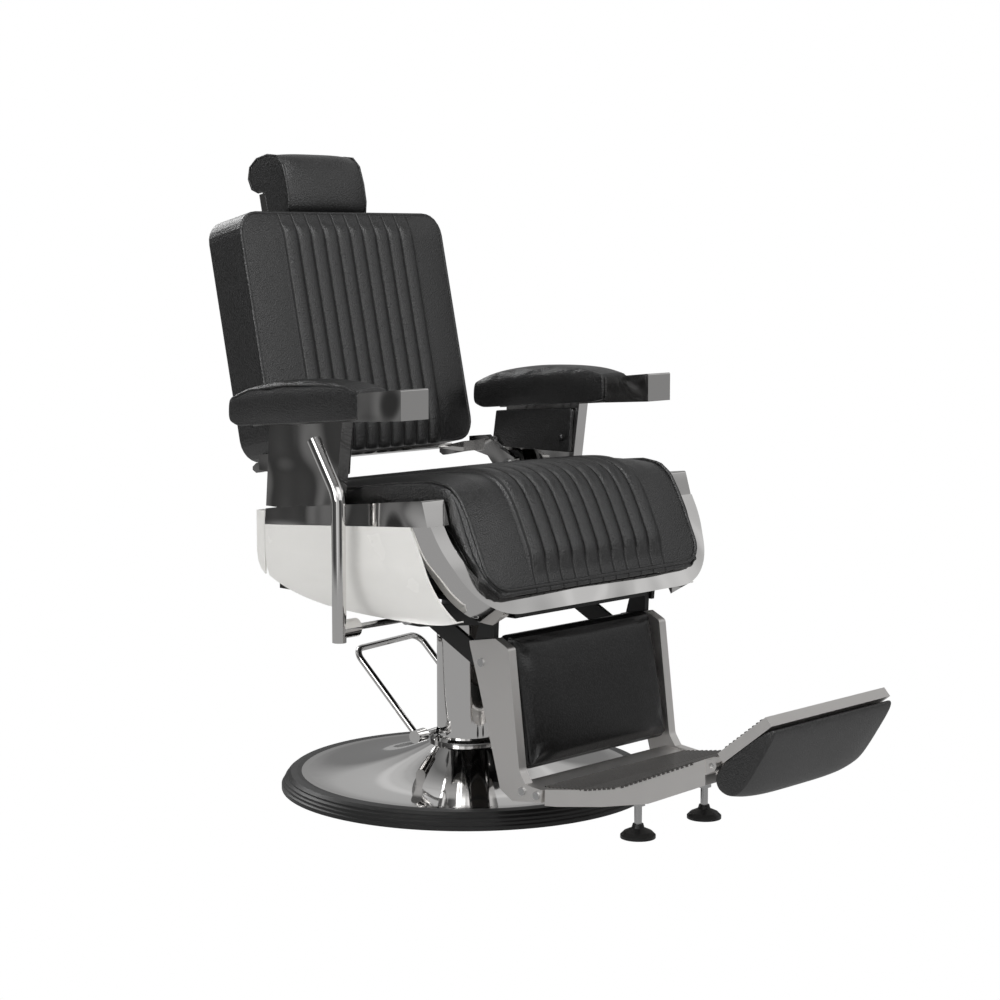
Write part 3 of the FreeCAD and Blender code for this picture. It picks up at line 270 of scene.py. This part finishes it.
# Black vinyl: a coated cloth with a fine pebble grain and a soft sheen, sewn over every cushion
# and over the board behind the back.
vinyl = bpy.data.materials.new("vinyl_black")
vinyl.use_nodes = True
tree = vinyl.node_tree
shader = tree.nodes["Principled BSDF"]
shader.inputs["Specular IOR Level"].default_value = 1.0
shader.inputs["IOR"].default_value = 1.54
gloss_drift = tree.nodes.new("ShaderNodeGroup")
gloss_drift.node_tree = drift
gloss_drift.inputs["Scale"].default_value = 30
gloss_drift.inputs["Detail"].default_value = 3
gloss_drift.inputs["Low"].default_value = 0.26
gloss_drift.inputs["High"].default_value = 0.36
spot = tree.nodes.new("ShaderNodeTexCoord")
pebble = tree.nodes.new("ShaderNodeTexVoronoi")
pebble.inputs["Scale"].default_value = 380
shade = tree.nodes.new("ShaderNodeValToRGB")
shade.color_ramp.elements[0].color = (0.024, 0.024, 0.025, 1)
shade.color_ramp.elements[1].color = (0.003, 0.003, 0.003, 1)
shade.color_ramp.elements[1].position = 0.5
grain = tree.nodes.new("ShaderNodeBump")
grain.inputs["Strength"].default_value = 0.85
grain.inputs["Distance"].default_value = 0.0008
tree.links.new(spot.outputs["Object"], pebble.inputs["Vector"])
tree.links.new(pebble.outputs["Distance"], grain.inputs["Height"])
tree.links.new(pebble.outputs["Distance"], shade.inputs["Fac"])
tree.links.new(shade.outputs["Color"], shader.inputs["Base Color"])
tree.links.new(grain.outputs["Normal"], shader.inputs["Normal"])
tree.links.new(gloss_drift.outputs["Value"], shader.inputs["Roughness"])
wear(vinyl, "back_panel")


# Channelled vinyl: the same cloth for the seat and the back, with rows of stitching that pull it in
# along each seam. Each seam is dented and duller, and its colour is darkened to black as painted shade in
# its crease.
def channelled(name, pitch, reach):
    """The vinyl with a dented, duller line at every seam across a width, its colour darkened there as
    painted shade.
    """
    made = vinyl.copy()
    made.name = name
    tree = made.node_tree
    shader = tree.nodes["Principled BSDF"]
    dent = tree.nodes[grain.name]
    tint = tree.nodes[shade.name]
    apart = tree.nodes.new("ShaderNodeSeparateXYZ")
    tree.links.new(tree.nodes[spot.name].outputs["Object"], apart.inputs[0])
    steps = {}
    for label, kind, value in (
            ("off", "PINGPONG", pitch / 2), ("out", "ABSOLUTE", 0), ("past", "GREATER_THAN", reach),
            ("both", "MAXIMUM", 0), ("deep", "MULTIPLY_ADD", 2)):
        steps[label] = tree.nodes.new("ShaderNodeMath")
        steps[label].operation = kind
        steps[label].inputs[1].default_value = value
    line = tree.nodes.new("ShaderNodeMapRange")
    line.inputs["From Min"].default_value = 0.0008
    line.inputs["From Max"].default_value = 0.003
    # Painted shade: the colour is multiplied to black along each seam line, standing for the shade in its
    # crease.
    seam_painted_shade = tree.nodes.new("ShaderNodeMix")
    seam_painted_shade.data_type = "RGBA"
    seam_painted_shade.blend_type = "MULTIPLY"
    seam_painted_shade.inputs["Factor"].default_value = 1
    dull = tree.nodes.new("ShaderNodeMath")
    dull.operation = "MULTIPLY_ADD"
    dull.inputs[1].default_value = -0.5
    dull.inputs[2].default_value = 0.5
    matt = tree.nodes.new("ShaderNodeMath")
    matt.operation = "ADD"
    tree.links.new(apart.outputs["X"], steps["off"].inputs[0])
    tree.links.new(apart.outputs["X"], steps["out"].inputs[0])
    tree.links.new(steps["out"].outputs[0], steps["past"].inputs[0])
    tree.links.new(steps["off"].outputs[0], line.inputs["Value"])
    tree.links.new(line.outputs["Result"], steps["both"].inputs[0])
    tree.links.new(steps["past"].outputs[0], steps["both"].inputs[1])
    tree.links.new(tint.outputs["Color"], seam_painted_shade.inputs["A"])
    tree.links.new(steps["both"].outputs[0], seam_painted_shade.inputs["B"])
    tree.links.new(seam_painted_shade.outputs["Result"], shader.inputs["Base Color"])
    tree.links.new(steps["both"].outputs[0], steps["deep"].inputs[0])
    tree.links.new(tree.nodes[pebble.name].outputs["Distance"], steps["deep"].inputs[2])
    tree.links.new(steps["deep"].outputs[0], dent.inputs["Height"])
    tree.links.new(steps["both"].outputs[0], dull.inputs[0])
    tree.links.new(dull.outputs[0], matt.inputs[0])
    tree.links.new(tree.nodes[gloss_drift.name].outputs["Value"], matt.inputs[1])
    tree.links.new(matt.outputs[0], shader.inputs["Roughness"])
    return made


# Seat cushion: foam on a plywood board under sewn vinyl, its top stitched in channels that run
# over the front edge and down to a piped lip, with a plain boxing round the sides.
def pick(piece, test):
    """Leave a piece in edit mode with only the vertices that pass a test selected."""
    bpy.ops.object.mode_set(mode="EDIT")
    bpy.ops.mesh.select_mode(type="VERT")
    bpy.ops.mesh.select_all(action="DESELECT")
    bpy.ops.object.mode_set(mode="OBJECT")
    for vertex in piece.data.vertices:
        vertex.select = bool(test(vertex.co))
    bpy.ops.object.mode_set(mode="EDIT")


def drawn(name, ring, low_x, high_x):
    """A closed form: a side outline of (y, z) points pulled across from one x to another."""
    bpy.ops.object.select_all(action="DESELECT")
    bpy.ops.mesh.primitive_circle_add(vertices=len(ring), radius=0.1, fill_type="NGON")
    piece = bpy.context.object
    piece.name = name
    for number, (y, z) in enumerate(ring):
        pick(piece, lambda co: False)
        bpy.ops.object.mode_set(mode="OBJECT")
        vertex = piece.data.vertices[number]
        vertex.select = True
        step = (low_x - vertex.co.x, y - vertex.co.y, z - vertex.co.z)
        bpy.ops.object.mode_set(mode="EDIT")
        bpy.ops.transform.translate(value=step)
    bpy.ops.mesh.select_all(action="SELECT")
    bpy.ops.mesh.extrude_region_move(TRANSFORM_OT_translate={"value": (high_x - low_x, 0, 0)})
    bpy.ops.mesh.select_all(action="SELECT")
    bpy.ops.mesh.normals_make_consistent(inside=False)
    return piece


def boxed(name, low, high):
    """A closed square form between two corners."""
    bpy.ops.object.select_all(action="DESELECT")
    bpy.ops.mesh.primitive_cube_add(size=1)
    piece = bpy.context.object
    piece.name = name
    piece.scale = [b - a for a, b in zip(low, high)]
    piece.location = [(a + b) / 2 for a, b in zip(low, high)]
    bpy.ops.object.transform_apply(location=True, rotation=True, scale=True)
    bpy.ops.object.mode_set(mode="EDIT")
    return piece


def sliced(axis, places):
    """Cut the form being edited by planes square to one axis."""
    normal = [float(axis == letter) for letter in "xyz"]
    for place in places:
        bpy.ops.mesh.select_all(action="SELECT")
        bpy.ops.mesh.bisect(plane_co=[place * n for n in normal], plane_no=normal)


def dense(piece, levels, kind="CATMULL_CLARK"):
    """Divide a form's faces, rounding it off or leaving it plain."""
    bpy.ops.object.mode_set(mode="OBJECT")
    bpy.context.view_layer.objects.active = piece
    smooth = piece.modifiers.new("rounding", "SUBSURF")
    smooth.subdivision_type = kind
    smooth.levels = levels
    bpy.ops.object.modifier_apply(modifier=smooth.name)


def clamped(value):
    """A value kept from 0 to 1."""
    return min(1, max(0, value))


def raised(piece, height, weight):
    """Lift the surface along its normals by a height times a weight from 0 to 1."""
    group = piece.vertex_groups.new(name="lift")
    for vertex in piece.data.vertices:
        group.add([vertex.index], clamped(weight(vertex.co, vertex.normal)), "REPLACE")
    lift = piece.modifiers.new("lift", "DISPLACE")
    lift.vertex_group = group.name
    lift.mid_level = 0
    lift.strength = height
    bpy.ops.object.modifier_apply(modifier=lift.name)
    piece.vertex_groups.remove(piece.vertex_groups["lift"])


def stuffed(piece, held, pressure=4.0, most=0.02):
    """Fill the cover with pressure, sewn lines and backing held, and limit how far it swells."""
    group = piece.vertex_groups.new(name="held")
    group.add([v.index for v in piece.data.vertices if held(v.co, v.normal)], 1, "REPLACE")
    before = [vertex.co.copy() for vertex in piece.data.vertices]
    cloth = piece.modifiers.new("stuffing", "CLOTH")
    cloth.settings.vertex_group_mass = group.name
    cloth.settings.use_pressure = True
    cloth.settings.uniform_pressure_force = pressure
    cloth.settings.effector_weights.gravity = 0
    cloth.point_cache.frame_start = 1
    cloth.point_cache.frame_end = 20
    for number in range(1, 21):
        scene.frame_set(number)
    bpy.ops.object.modifier_apply(modifier=cloth.name)
    scene.frame_set(1)
    for vertex, rest in zip(piece.data.vertices, before):
        move = vertex.co - rest
        if move.length > most:
            vertex.co = rest + move * (most / move.length)
    piece.vertex_groups.remove(piece.vertex_groups["held"])


def sewn(piece, body, replaced, cloth=vinyl):
    """Finish a cushion: round it once more, cover it in vinyl and fix it to its body."""
    dense(piece, 1)
    bpy.ops.object.select_all(action="DESELECT")
    piece.select_set(True)
    bpy.context.view_layer.objects.active = piece
    bpy.ops.object.shade_smooth()
    piece.data.materials.clear()
    piece.data.materials.append(cloth)
    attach(piece, body)
    if replaced:
        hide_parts(*replaced)


def leaned(piece, angle, spot):
    """Turn a form drawn upright about x and set it in its place."""
    bpy.ops.object.mode_set(mode="OBJECT")
    bpy.ops.object.select_all(action="DESELECT")
    piece.select_set(True)
    bpy.context.view_layer.objects.active = piece
    piece.rotation_euler = (angle, 0, 0)
    piece.location = spot
    bpy.ops.object.transform_apply(location=True, rotation=True, scale=True)


def softened(piece, test, radius, segments):
    """Round the edges of a form whose two ends pass a test."""
    bpy.ops.object.mode_set(mode="EDIT")
    bpy.ops.mesh.select_mode(type="EDGE")
    bpy.ops.mesh.select_all(action="DESELECT")
    bpy.ops.object.mode_set(mode="OBJECT")
    for edge in piece.data.edges:
        ends = [piece.data.vertices[index].co for index in edge.vertices]
        edge.select = bool(test(*ends))
    bpy.ops.object.mode_set(mode="EDIT")
    bpy.ops.mesh.bevel(offset=radius, segments=segments, affect="EDGES")
    bpy.ops.mesh.select_mode(type="VERT")


def welted(name, path, thick, body, closed=True):
    """A welt laid along a path of points."""
    bpy.ops.object.select_all(action="DESELECT")
    line = bpy.data.curves.new(name, "CURVE")
    line.dimensions = "3D"
    line.bevel_depth = thick
    line.bevel_resolution = 2
    run = line.splines.new("POLY")
    run.points.add(len(path) - 1)
    for point, spot in zip(run.points, path):
        point.co = (*spot, 1)
    run.use_cyclic_u = closed
    welt = bpy.data.objects.new(name, line)
    scene.collection.objects.link(welt)
    welt.select_set(True)
    bpy.context.view_layer.objects.active = welt
    bpy.ops.object.convert(target="MESH")
    welt = bpy.context.object
    bpy.ops.object.shade_smooth()
    welt.data.materials.clear()
    welt.data.materials.append(vinyl)
    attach(welt, body)
    return welt


def rounded(half, low, high, radius, steps=6):
    """The points of a rectangle with rounded corners, as (across, up) pairs."""
    points = []
    for turn, across, up in ((0, half - radius, high - radius), (1, radius - half, high - radius),
                             (2, radius - half, low + radius), (3, half - radius, low + radius)):
        for step in range(steps + 1):
            angle = math.pi / 2 * (turn + step / steps)
            points.append((across + radius * math.cos(angle), up + radius * math.sin(angle)))
    return points


seat_fall = [
    (0.226, 0.545), (0.1, 0.561), (-0.03, 0.579), (-0.13, 0.592), (-0.19, 0.598), (-0.228, 0.593),
    (-0.252, 0.576), (-0.272, 0.544), (-0.289, 0.508), (-0.306, 0.470), (-0.321, 0.440), (-0.329, 0.424)]
seat_under = [
    (-0.333, 0.415), (-0.326, 0.411), (-0.310, 0.414), (-0.292, 0.440), (-0.272, 0.485),
    (-0.260, 0.512), (-0.243, 0.529), (-0.1, 0.529), (0.08, 0.529), (0.226, 0.529)]
seat_edge = 0.275
seat_pitch = 0.034
seat_seams = [seat_pitch * (number - 5) for number in range(11)]
seat_runs = [0.0]
for start, end in zip(seat_fall, seat_fall[1:]):
    seat_runs.append(seat_runs[-1] + math.dist(start, end))


def seat_run(co):
    """How far along the seat's fall a spot lies, and how far inside the cover it is."""
    best = (1.0, 0.0)
    for start, end, base in zip(seat_fall, seat_fall[1:], seat_runs):
        dy, dz = end[0] - start[0], end[1] - start[1]
        length = math.hypot(dy, dz)
        along = ((co.y - start[0]) * dy + (co.z - start[1]) * dz) / length
        along = max(0.0, min(length, along))
        away = math.hypot(co.y - start[0] - dy * along / length, co.z - start[1] - dz * along / length)
        best = min(best, (away, base + along))
    return best[1], best[0]


def seat_past(co):
    """How far a spot on the seat lies past the piped edge of its top panel, or below 0 inside it."""
    run, deep = seat_run(co)
    corner = 0.045
    across = abs(co.x) - seat_edge + corner
    along = run - seat_runs[-1] + corner
    return math.hypot(max(0, across), max(0, along)) - corner + min(0, max(across, along))


seat = drawn("seat_cushion_soft", seat_fall + seat_under, -0.286, 0.286)
pick(seat, lambda co: co.y > 0.06)
bpy.ops.transform.resize(value=(0.9, 1, 1), center_override=(0, 0, 0))
pick(seat, lambda co: co.y < -0.24 and 0.45 < co.z < 0.56)
bpy.ops.transform.resize(value=(1.035, 1, 1), center_override=(0, 0, 0))
for level, share in ((0.445, 0.98), (0.43, 0.95), (0.418, 0.94)):
    pick(seat, lambda co: co.z < level and co.y < -0.2)
    bpy.ops.transform.resize(value=(share, 1, 1), center_override=(0, 0, 0))
sliced("x", seat_seams + [place + seat_pitch / 2 for place in seat_seams[:-1]]
       + [side * place for side in (-1, 1) for place in (0.19, 0.21, 0.23, 0.25, 0.264, seat_edge, 0.283)])
dense(seat, 2)
raised(seat, 0.010, lambda co, n: (seat_run(co)[1] < 0.01) * (seat_past(co) < 0) * (abs(co.x) < 0.171)
       * clamped((seat_runs[-1] - 0.02 - seat_run(co)[0]) / 0.03)
       * abs(math.sin(math.pi * co.x / seat_pitch)) ** 0.5)
raised(seat, 0.008, lambda co, n: (seat_run(co)[1] < 0.02) * clamped(-seat_past(co) / 0.06))
raised(seat, -0.02, lambda co, n: (seat_run(co)[1] < 0.012) * (co.y < 0.06) * max(0, -n.y)
       * max(0, seat_past(co)) / 0.014)
stuffed(seat, lambda co, n: seat_run(co)[1] > 0.02 or seat_past(co) > -0.004
        or min(abs(co.x - place) for place in seat_seams) < 0.0015, 2.0, 0.006)
sewn(seat, "seat", ["seat_cushion"], channelled("vinyl_seat", seat_pitch, 0.172))


def on_fall(run):
    """The point of the seat's fall at a distance along it."""
    for start, end, base, last in zip(seat_fall, seat_fall[1:], seat_runs, seat_runs[1:]):
        if run <= last + 1e-6:
            part = (run - base) / (last - base)
            return tuple(a + (b - a) * part for a, b in zip(start, end))
    return seat_fall[-1]


seat_path = []
for number in range(40):
    seat_path.append((-seat_edge, *on_fall(0.19 + (seat_runs[-1] - 0.235) * number / 39)))
for across, down in rounded(seat_edge, -seat_runs[-1], 0.5, 0.045)[14:]:
    seat_path.append((across, *on_fall(-down)))
seat_path += [(seat_edge, *spot[1:]) for spot in reversed(seat_path[:40])]
welted("seat_welt", seat_path, 0.0035, "seat", closed=False)

# Back cushion: a rounded foam slab on the back panel, its face sewn in upright channels inside
# a piped edge, with plain boxing round it.
back_lean = math.radians(-12.6)
back_spot = (0, 0.236, 0.612)
back_pitch = 0.033
back_seams = [back_pitch * (number - 5) for number in range(11)]
back_half = 0.258
back_tall = 0.455
back = boxed("back_cushion_soft", (-back_half, 0, 0), (back_half, 0.096, back_tall))
softened(back, lambda a, b: abs(a.y - b.y) > 0.05, 0.042, 6)
pick(back, lambda co: co.y > 0.09)
bpy.ops.mesh.inset(thickness=0.011)
bpy.ops.transform.translate(value=(0, -0.0162, 0))
softened(back, lambda a, b: a.y > 0.09 and b.y > 0.09, 0.004, 3)
sliced("x", back_seams
       + [place + back_pitch * part for place in back_seams[:-1] for part in (0.25, 0.5, 0.75)]
       + [side * place for side in (-1, 1) for place in (0.185, 0.205, 0.225, 0.24)])
sliced("z", [0.012, 0.03] + [0.045 * number for number in range(1, 9)] + [0.38, 0.4, 0.412, 0.424, 0.436])
sliced("y", [0.006, 0.03, 0.055])
dense(back, 1, "SIMPLE")
raised(back, 0.012, lambda co, n: (co.y < 0.001) * clamped((back_half - abs(co.x)) / 0.07) ** 0.7
       * clamped(co.z / 0.05) ** 0.7 * clamped((back_tall - co.z) / 0.05) ** 0.7)
raised(back, 0.007, lambda co, n: (co.y < 0.001) * (abs(co.x) < 0.1651)
       * clamped((0.432 - co.z) / 0.012)
       * abs(math.sin(math.pi * co.x / back_pitch)) ** 0.5)
stuffed(back, lambda co, n: co.y > 0.03 or min(abs(co.x - place) for place in back_seams) < 0.0015
        or abs(co.x) > 0.254 or not 0.004 < co.z < 0.451, 3.0, 0.008)
leaned(back, back_lean, back_spot)
sewn(back, "backrest", ["back_cushion"], channelled("vinyl_back", back_pitch, 0.167))
welt = welted("back_welt", [(x, 0.001, z) for x, z in rounded(0.256, 0.003, 0.452, 0.042)],
              0.0035, "backrest")
leaned(welt, back_lean, back_spot)

# Headrest cushion: a short foam block with a roll along its top rear edge, sewn with piped end
# panels and carried by a chromed plate on the sliding bar.
head_ring = [
    (0.040, 0.461), (0.033, 0.485), (0.032, 0.52), (0.036, 0.555), (0.05, 0.575), (0.075, 0.583),
    (0.106, 0.583), (0.129, 0.572), (0.138, 0.551), (0.133, 0.530), (0.117, 0.520), (0.104, 0.519),
    (0.0975, 0.512), (0.0975, 0.485), (0.095, 0.461), (0.065, 0.458)]
head_half = 0.101
head = drawn("headrest_cushion_soft", head_ring, -head_half, head_half)
sliced("x", [-0.098, -0.09, -0.06, -0.03, 0, 0.03, 0.06, 0.09, 0.098])
dense(head, 2)
raised(head, 0.012, lambda co, n: (co.y < 0.075) * max(0, -n.y) * (1 - (co.x / head_half) ** 4))
stuffed(head, lambda co, n: co.y > 0.09 or abs(co.x) > 0.093, 4.0, 0.006)
leaned(head, back_lean, back_spot)
sewn(head, "headrest", ["headrest_cushion"])
for side in (-1, 1):
    welt = welted("headrest_welt_" + ("right" if side < 0 else "left"),
                  [(side * 0.0985, y, z) for y, z in head_ring], 0.0022, "headrest")
    leaned(welt, back_lean, back_spot)

# Arm pads: long foam pads fixed along the top of each arm, their vinyl cover piped along the
# outer upper edge.
arm_top = [(0.257, 0.721), (0.2, 0.743), (0.1, 0.756), (0.0, 0.760), (-0.05, 0.758), (-0.083, 0.749)]
arm_low = [(-0.0835, 0.705), (-0.06, 0.699), (0.09, 0.686), (0.235, 0.673), (0.259, 0.682)]
for side, hand in ((-1, "right"), (1, "left")):
    replaced = "arm_pad_" + hand
    pad = drawn(replaced + "_soft", arm_top + arm_low, *sorted((side * 0.279, side * 0.349)))
    sliced("y", [0.25, 0.22, 0.16, 0.125, 0.05, -0.025, -0.07, -0.08])
    sliced("x", [side * place for place in (0.281, 0.292, 0.314, 0.336, 0.347)])
    dense(pad, 2)
    raised(pad, 0.004, lambda co, n: max(0, n.z) * (1 - (abs(abs(co.x) - 0.314) / 0.035) ** 2))
    stuffed(pad, lambda co, n: co.z < 0.7 - 0.0833 * (co.y + 0.012) or co.y < -0.078, 4.0, 0.005)
    sewn(pad, "seat", [replaced])
    welt_line = [(0.247, 0.7265)] + arm_top[1:]
    welted("arm_welt_" + hand, [(side * 0.3475, y, z - 0.004) for y, z in welt_line],
           0.0022, "seat", closed=False)

# Inner arm pads: thin padded boards under vinyl, fixed to the inside of each arm panel and
# drawn in by covered buttons.
for side in (-1, 1):
    pad = drawn("arm_inner_pad_" + ("right" if side < 0 else "left"),
                [(0.006, 0.598), (0.212, 0.598), (0.2, 0.669), (-0.002, 0.684)],
                *sorted((side * 0.284, side * 0.294)))
    sliced("y", [0.012, 0.06, 0.12, 0.195])
    sliced("z", [0.602, 0.64, 0.665])
    sliced("x", [side * 0.2865])
    dense(pad, 2)
    sewn(pad, "seat", ["arm_inner_pads"] if side < 0 else [])

# Leg rest pad: a thin foam pad on a plywood board, sewn with a narrow boxing. Its cover is the vinyl
# with a weaker, smoother grain and its sheen turned down as painted shade, for the shade under the seat.
plain_shaded_vinyl = vinyl.copy()
plain_shaded_vinyl.name = "vinyl_plain"
# Painted shade: the sheen is halved to darken this pad, which sits in the seat's shade.
plain_shaded_vinyl.node_tree.nodes["Principled BSDF"].inputs["Specular IOR Level"].default_value = 0.5
plain_shaded_vinyl.node_tree.nodes[grain.name].inputs["Strength"].default_value = 0.35
leg_lean = math.radians(-11.06)
leg_spot = (0, -0.321, 0.110)
calf_half = 0.184
calf_tall = 0.230
calf = boxed("legrest_pad_soft", (-calf_half, -0.010, 0), (calf_half, 0.034, calf_tall))
softened(calf, lambda a, b: abs(a.y - b.y) > 0.02, 0.012, 4)
softened(calf, lambda a, b: a.y < -0.009 and b.y < -0.009, 0.006, 3)
sliced("y", [0.010, 0.018])
pick(calf, lambda co: co.y > 0.014)
bpy.ops.transform.resize(value=(0.93, 1, 1), center_override=(0, 0, 0))
sliced("x", [-0.165, -0.12, -0.06, 0, 0.06, 0.12, 0.165])
sliced("z", [0.02, 0.06, 0.112, 0.16, 0.21])
dense(calf, 2, "SIMPLE")
raised(calf, 0.009, lambda co, n: (co.y < -0.002) * clamped((calf_half - abs(co.x)) / 0.08) ** 0.6
       * clamped(co.z / 0.08) ** 0.6 * clamped((calf_tall - co.z) / 0.08) ** 0.6)
stuffed(calf, lambda co, n: co.y > 0.002, 4.0, 0.005)
leaned(calf, leg_lean, leg_spot)
sewn(calf, "legrest", ["legrest_pad"], plain_shaded_vinyl)

# Flap pad: a foam pad under vinyl, fixed to the underside of the folding plate and met by the
# legs when the plate is turned over.
flap_ring = [(-0.703 + a, 0.176 + b) for a, b in (
    (-0.115, 0.0795), (-0.067, 0.0432), (-0.02, 0.0068), (-0.002, -0.014), (-0.006, -0.040),
    (-0.040, -0.048), (-0.062, -0.026), (-0.08, 0.001), (-0.100, 0.033), (-0.122, 0.069))]
flap_half = 0.163
flap = drawn("flap_pad_soft", flap_ring, -flap_half, flap_half)
sliced("x", [-0.16, -0.15, -0.12, -0.07, 0, 0.07, 0.12, 0.15, 0.16])
dense(flap, 2)
raised(flap, 0.014, lambda co, n: max(0, -n.z) * max(0, 1 - (co.x / flap_half) ** 4)
       * max(0, 1 - ((co.y + 0.765) / 0.062) ** 2))
sewn(flap, "flap", ["flap_pad"])

# Deck ribs: low ribs cast across the footplate for grip, in runs that follow the deck's bends,
# trimmed to the narrowing sides and left off at the hinge.
# The ribs are coloured dark grey as painted shade, standing for the dark lines of shade between them.
rib_painted_shade = finish("cast_worn", (0.15, 0.145, 0.14), 1, 0.25, 0.36, 30)


def ribs(name, start, end, half_start, half_end, pitch, tall, body):
    """A run of cast ribs from one (y, z) to another, with half widths that change along it."""
    run = math.dist(start, end)
    count = int(run / pitch)
    slope = math.atan2(end[1] - start[1], start[0] - end[0])
    wide = max(half_start, half_end)
    bpy.ops.object.select_all(action="DESELECT")
    bpy.ops.mesh.primitive_cube_add(size=1)
    piece = bpy.context.object
    piece.name = name
    piece.scale = (2 * wide, pitch * 0.55, tall * 2)
    bpy.ops.object.transform_apply(location=False, rotation=False, scale=True)
    pick(piece, lambda co: co.z > 0)
    bpy.ops.transform.resize(value=(1, 0.5, 1), center_override=(0, 0, 0))
    bpy.ops.object.mode_set(mode="OBJECT")
    row = piece.modifiers.new("row", "ARRAY")
    row.count = count
    row.use_relative_offset = False
    row.use_constant_offset = True
    row.constant_offset_displace = (0, -pitch, 0)
    bpy.ops.object.modifier_apply(modifier=row.name)
    bpy.ops.object.mode_set(mode="EDIT")
    for side in (-1, 1):
        bpy.ops.mesh.select_all(action="SELECT")
        lean = (half_end - half_start) / run
        bpy.ops.mesh.bisect(plane_co=(side * half_start, 0, 0), plane_no=(side, lean, 0),
                            clear_outer=True, use_fill=True)
    bpy.ops.object.mode_set(mode="OBJECT")
    piece.rotation_euler = (-slope, 0, 0)
    piece.location = (0, start[0] - pitch * 0.5 * math.cos(slope), start[1] + pitch * 0.5 * math.sin(slope))
    bpy.ops.object.transform_apply(location=True, rotation=True, scale=True)
    piece.data.materials.clear()
    piece.data.materials.append(rib_painted_shade)
    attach(piece, body)
    return piece


ribs("deck_ribs_rear", (-0.361, 0.0865), (-0.458, 0.1005), 0.186, 0.196, 0.0095, 0.0022, "legrest")
ribs("deck_ribs_middle", (-0.458, 0.1005), (-0.531, 0.1155), 0.196, 0.188, 0.0095, 0.0022, "legrest")
ribs("deck_ribs_front", (-0.531, 0.1155), (-0.672, 0.1765), 0.188, 0.170, 0.0095, 0.0022, "legrest")
ribs("flap_ribs", (-0.722, 0.2045), (-0.803, 0.2675), 0.158, 0.158, 0.0095, 0.0025, "flap")


# Screws and buttons: domed steel socket screws that hold the hoop, and the vinyl-covered buttons
# that draw the inner arm pads to their boards.
def stud(name, spot, facing, radius, tall, socket, material, body):
    """A round head with a softened rim and, where it has one, a socket sunk in its face."""
    bpy.ops.object.select_all(action="DESELECT")
    bpy.ops.mesh.primitive_cylinder_add(vertices=24, radius=radius, depth=2 * tall)
    head = bpy.context.object
    head.name = name
    pick(head, lambda co: co.z > 0)
    bpy.ops.mesh.select_mode(type="FACE")
    bpy.ops.mesh.inset(thickness=radius * 0.25)
    bpy.ops.transform.translate(value=(0, 0, tall * 0.35))
    if socket:
        bpy.ops.mesh.inset(thickness=radius * 0.3)
        bpy.ops.transform.translate(value=(0, 0, -tall * 0.6))
    bpy.ops.mesh.select_mode(type="VERT")
    bpy.ops.object.mode_set(mode="OBJECT")
    head.rotation_euler = head.location.__class__(facing).to_track_quat("Z", "Y").to_euler()
    head.location = spot
    bpy.ops.object.transform_apply(location=True, rotation=True, scale=True)
    bpy.ops.object.shade_smooth_by_angle(angle=math.radians(40))
    head.data.materials.clear()
    head.data.materials.append(material)
    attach(head, body)


for side, hand in ((-1, "right"), (1, "left")):
    stud("hoop_screw_" + hand, (side * 0.2737, -0.2877, 0.3814), (side * 0.575, -0.402, -0.7125),
         0.006, 0.002, True, bright, "seat")
    for number, spot in enumerate(((0.025, 0.626), (0.198, 0.611))):
        stud("arm_button_%s_%d" % (hand, number), (side * 0.2835, *spot), (-side, 0, 0),
             0.007, 0.004, False, vinyl, "seat")
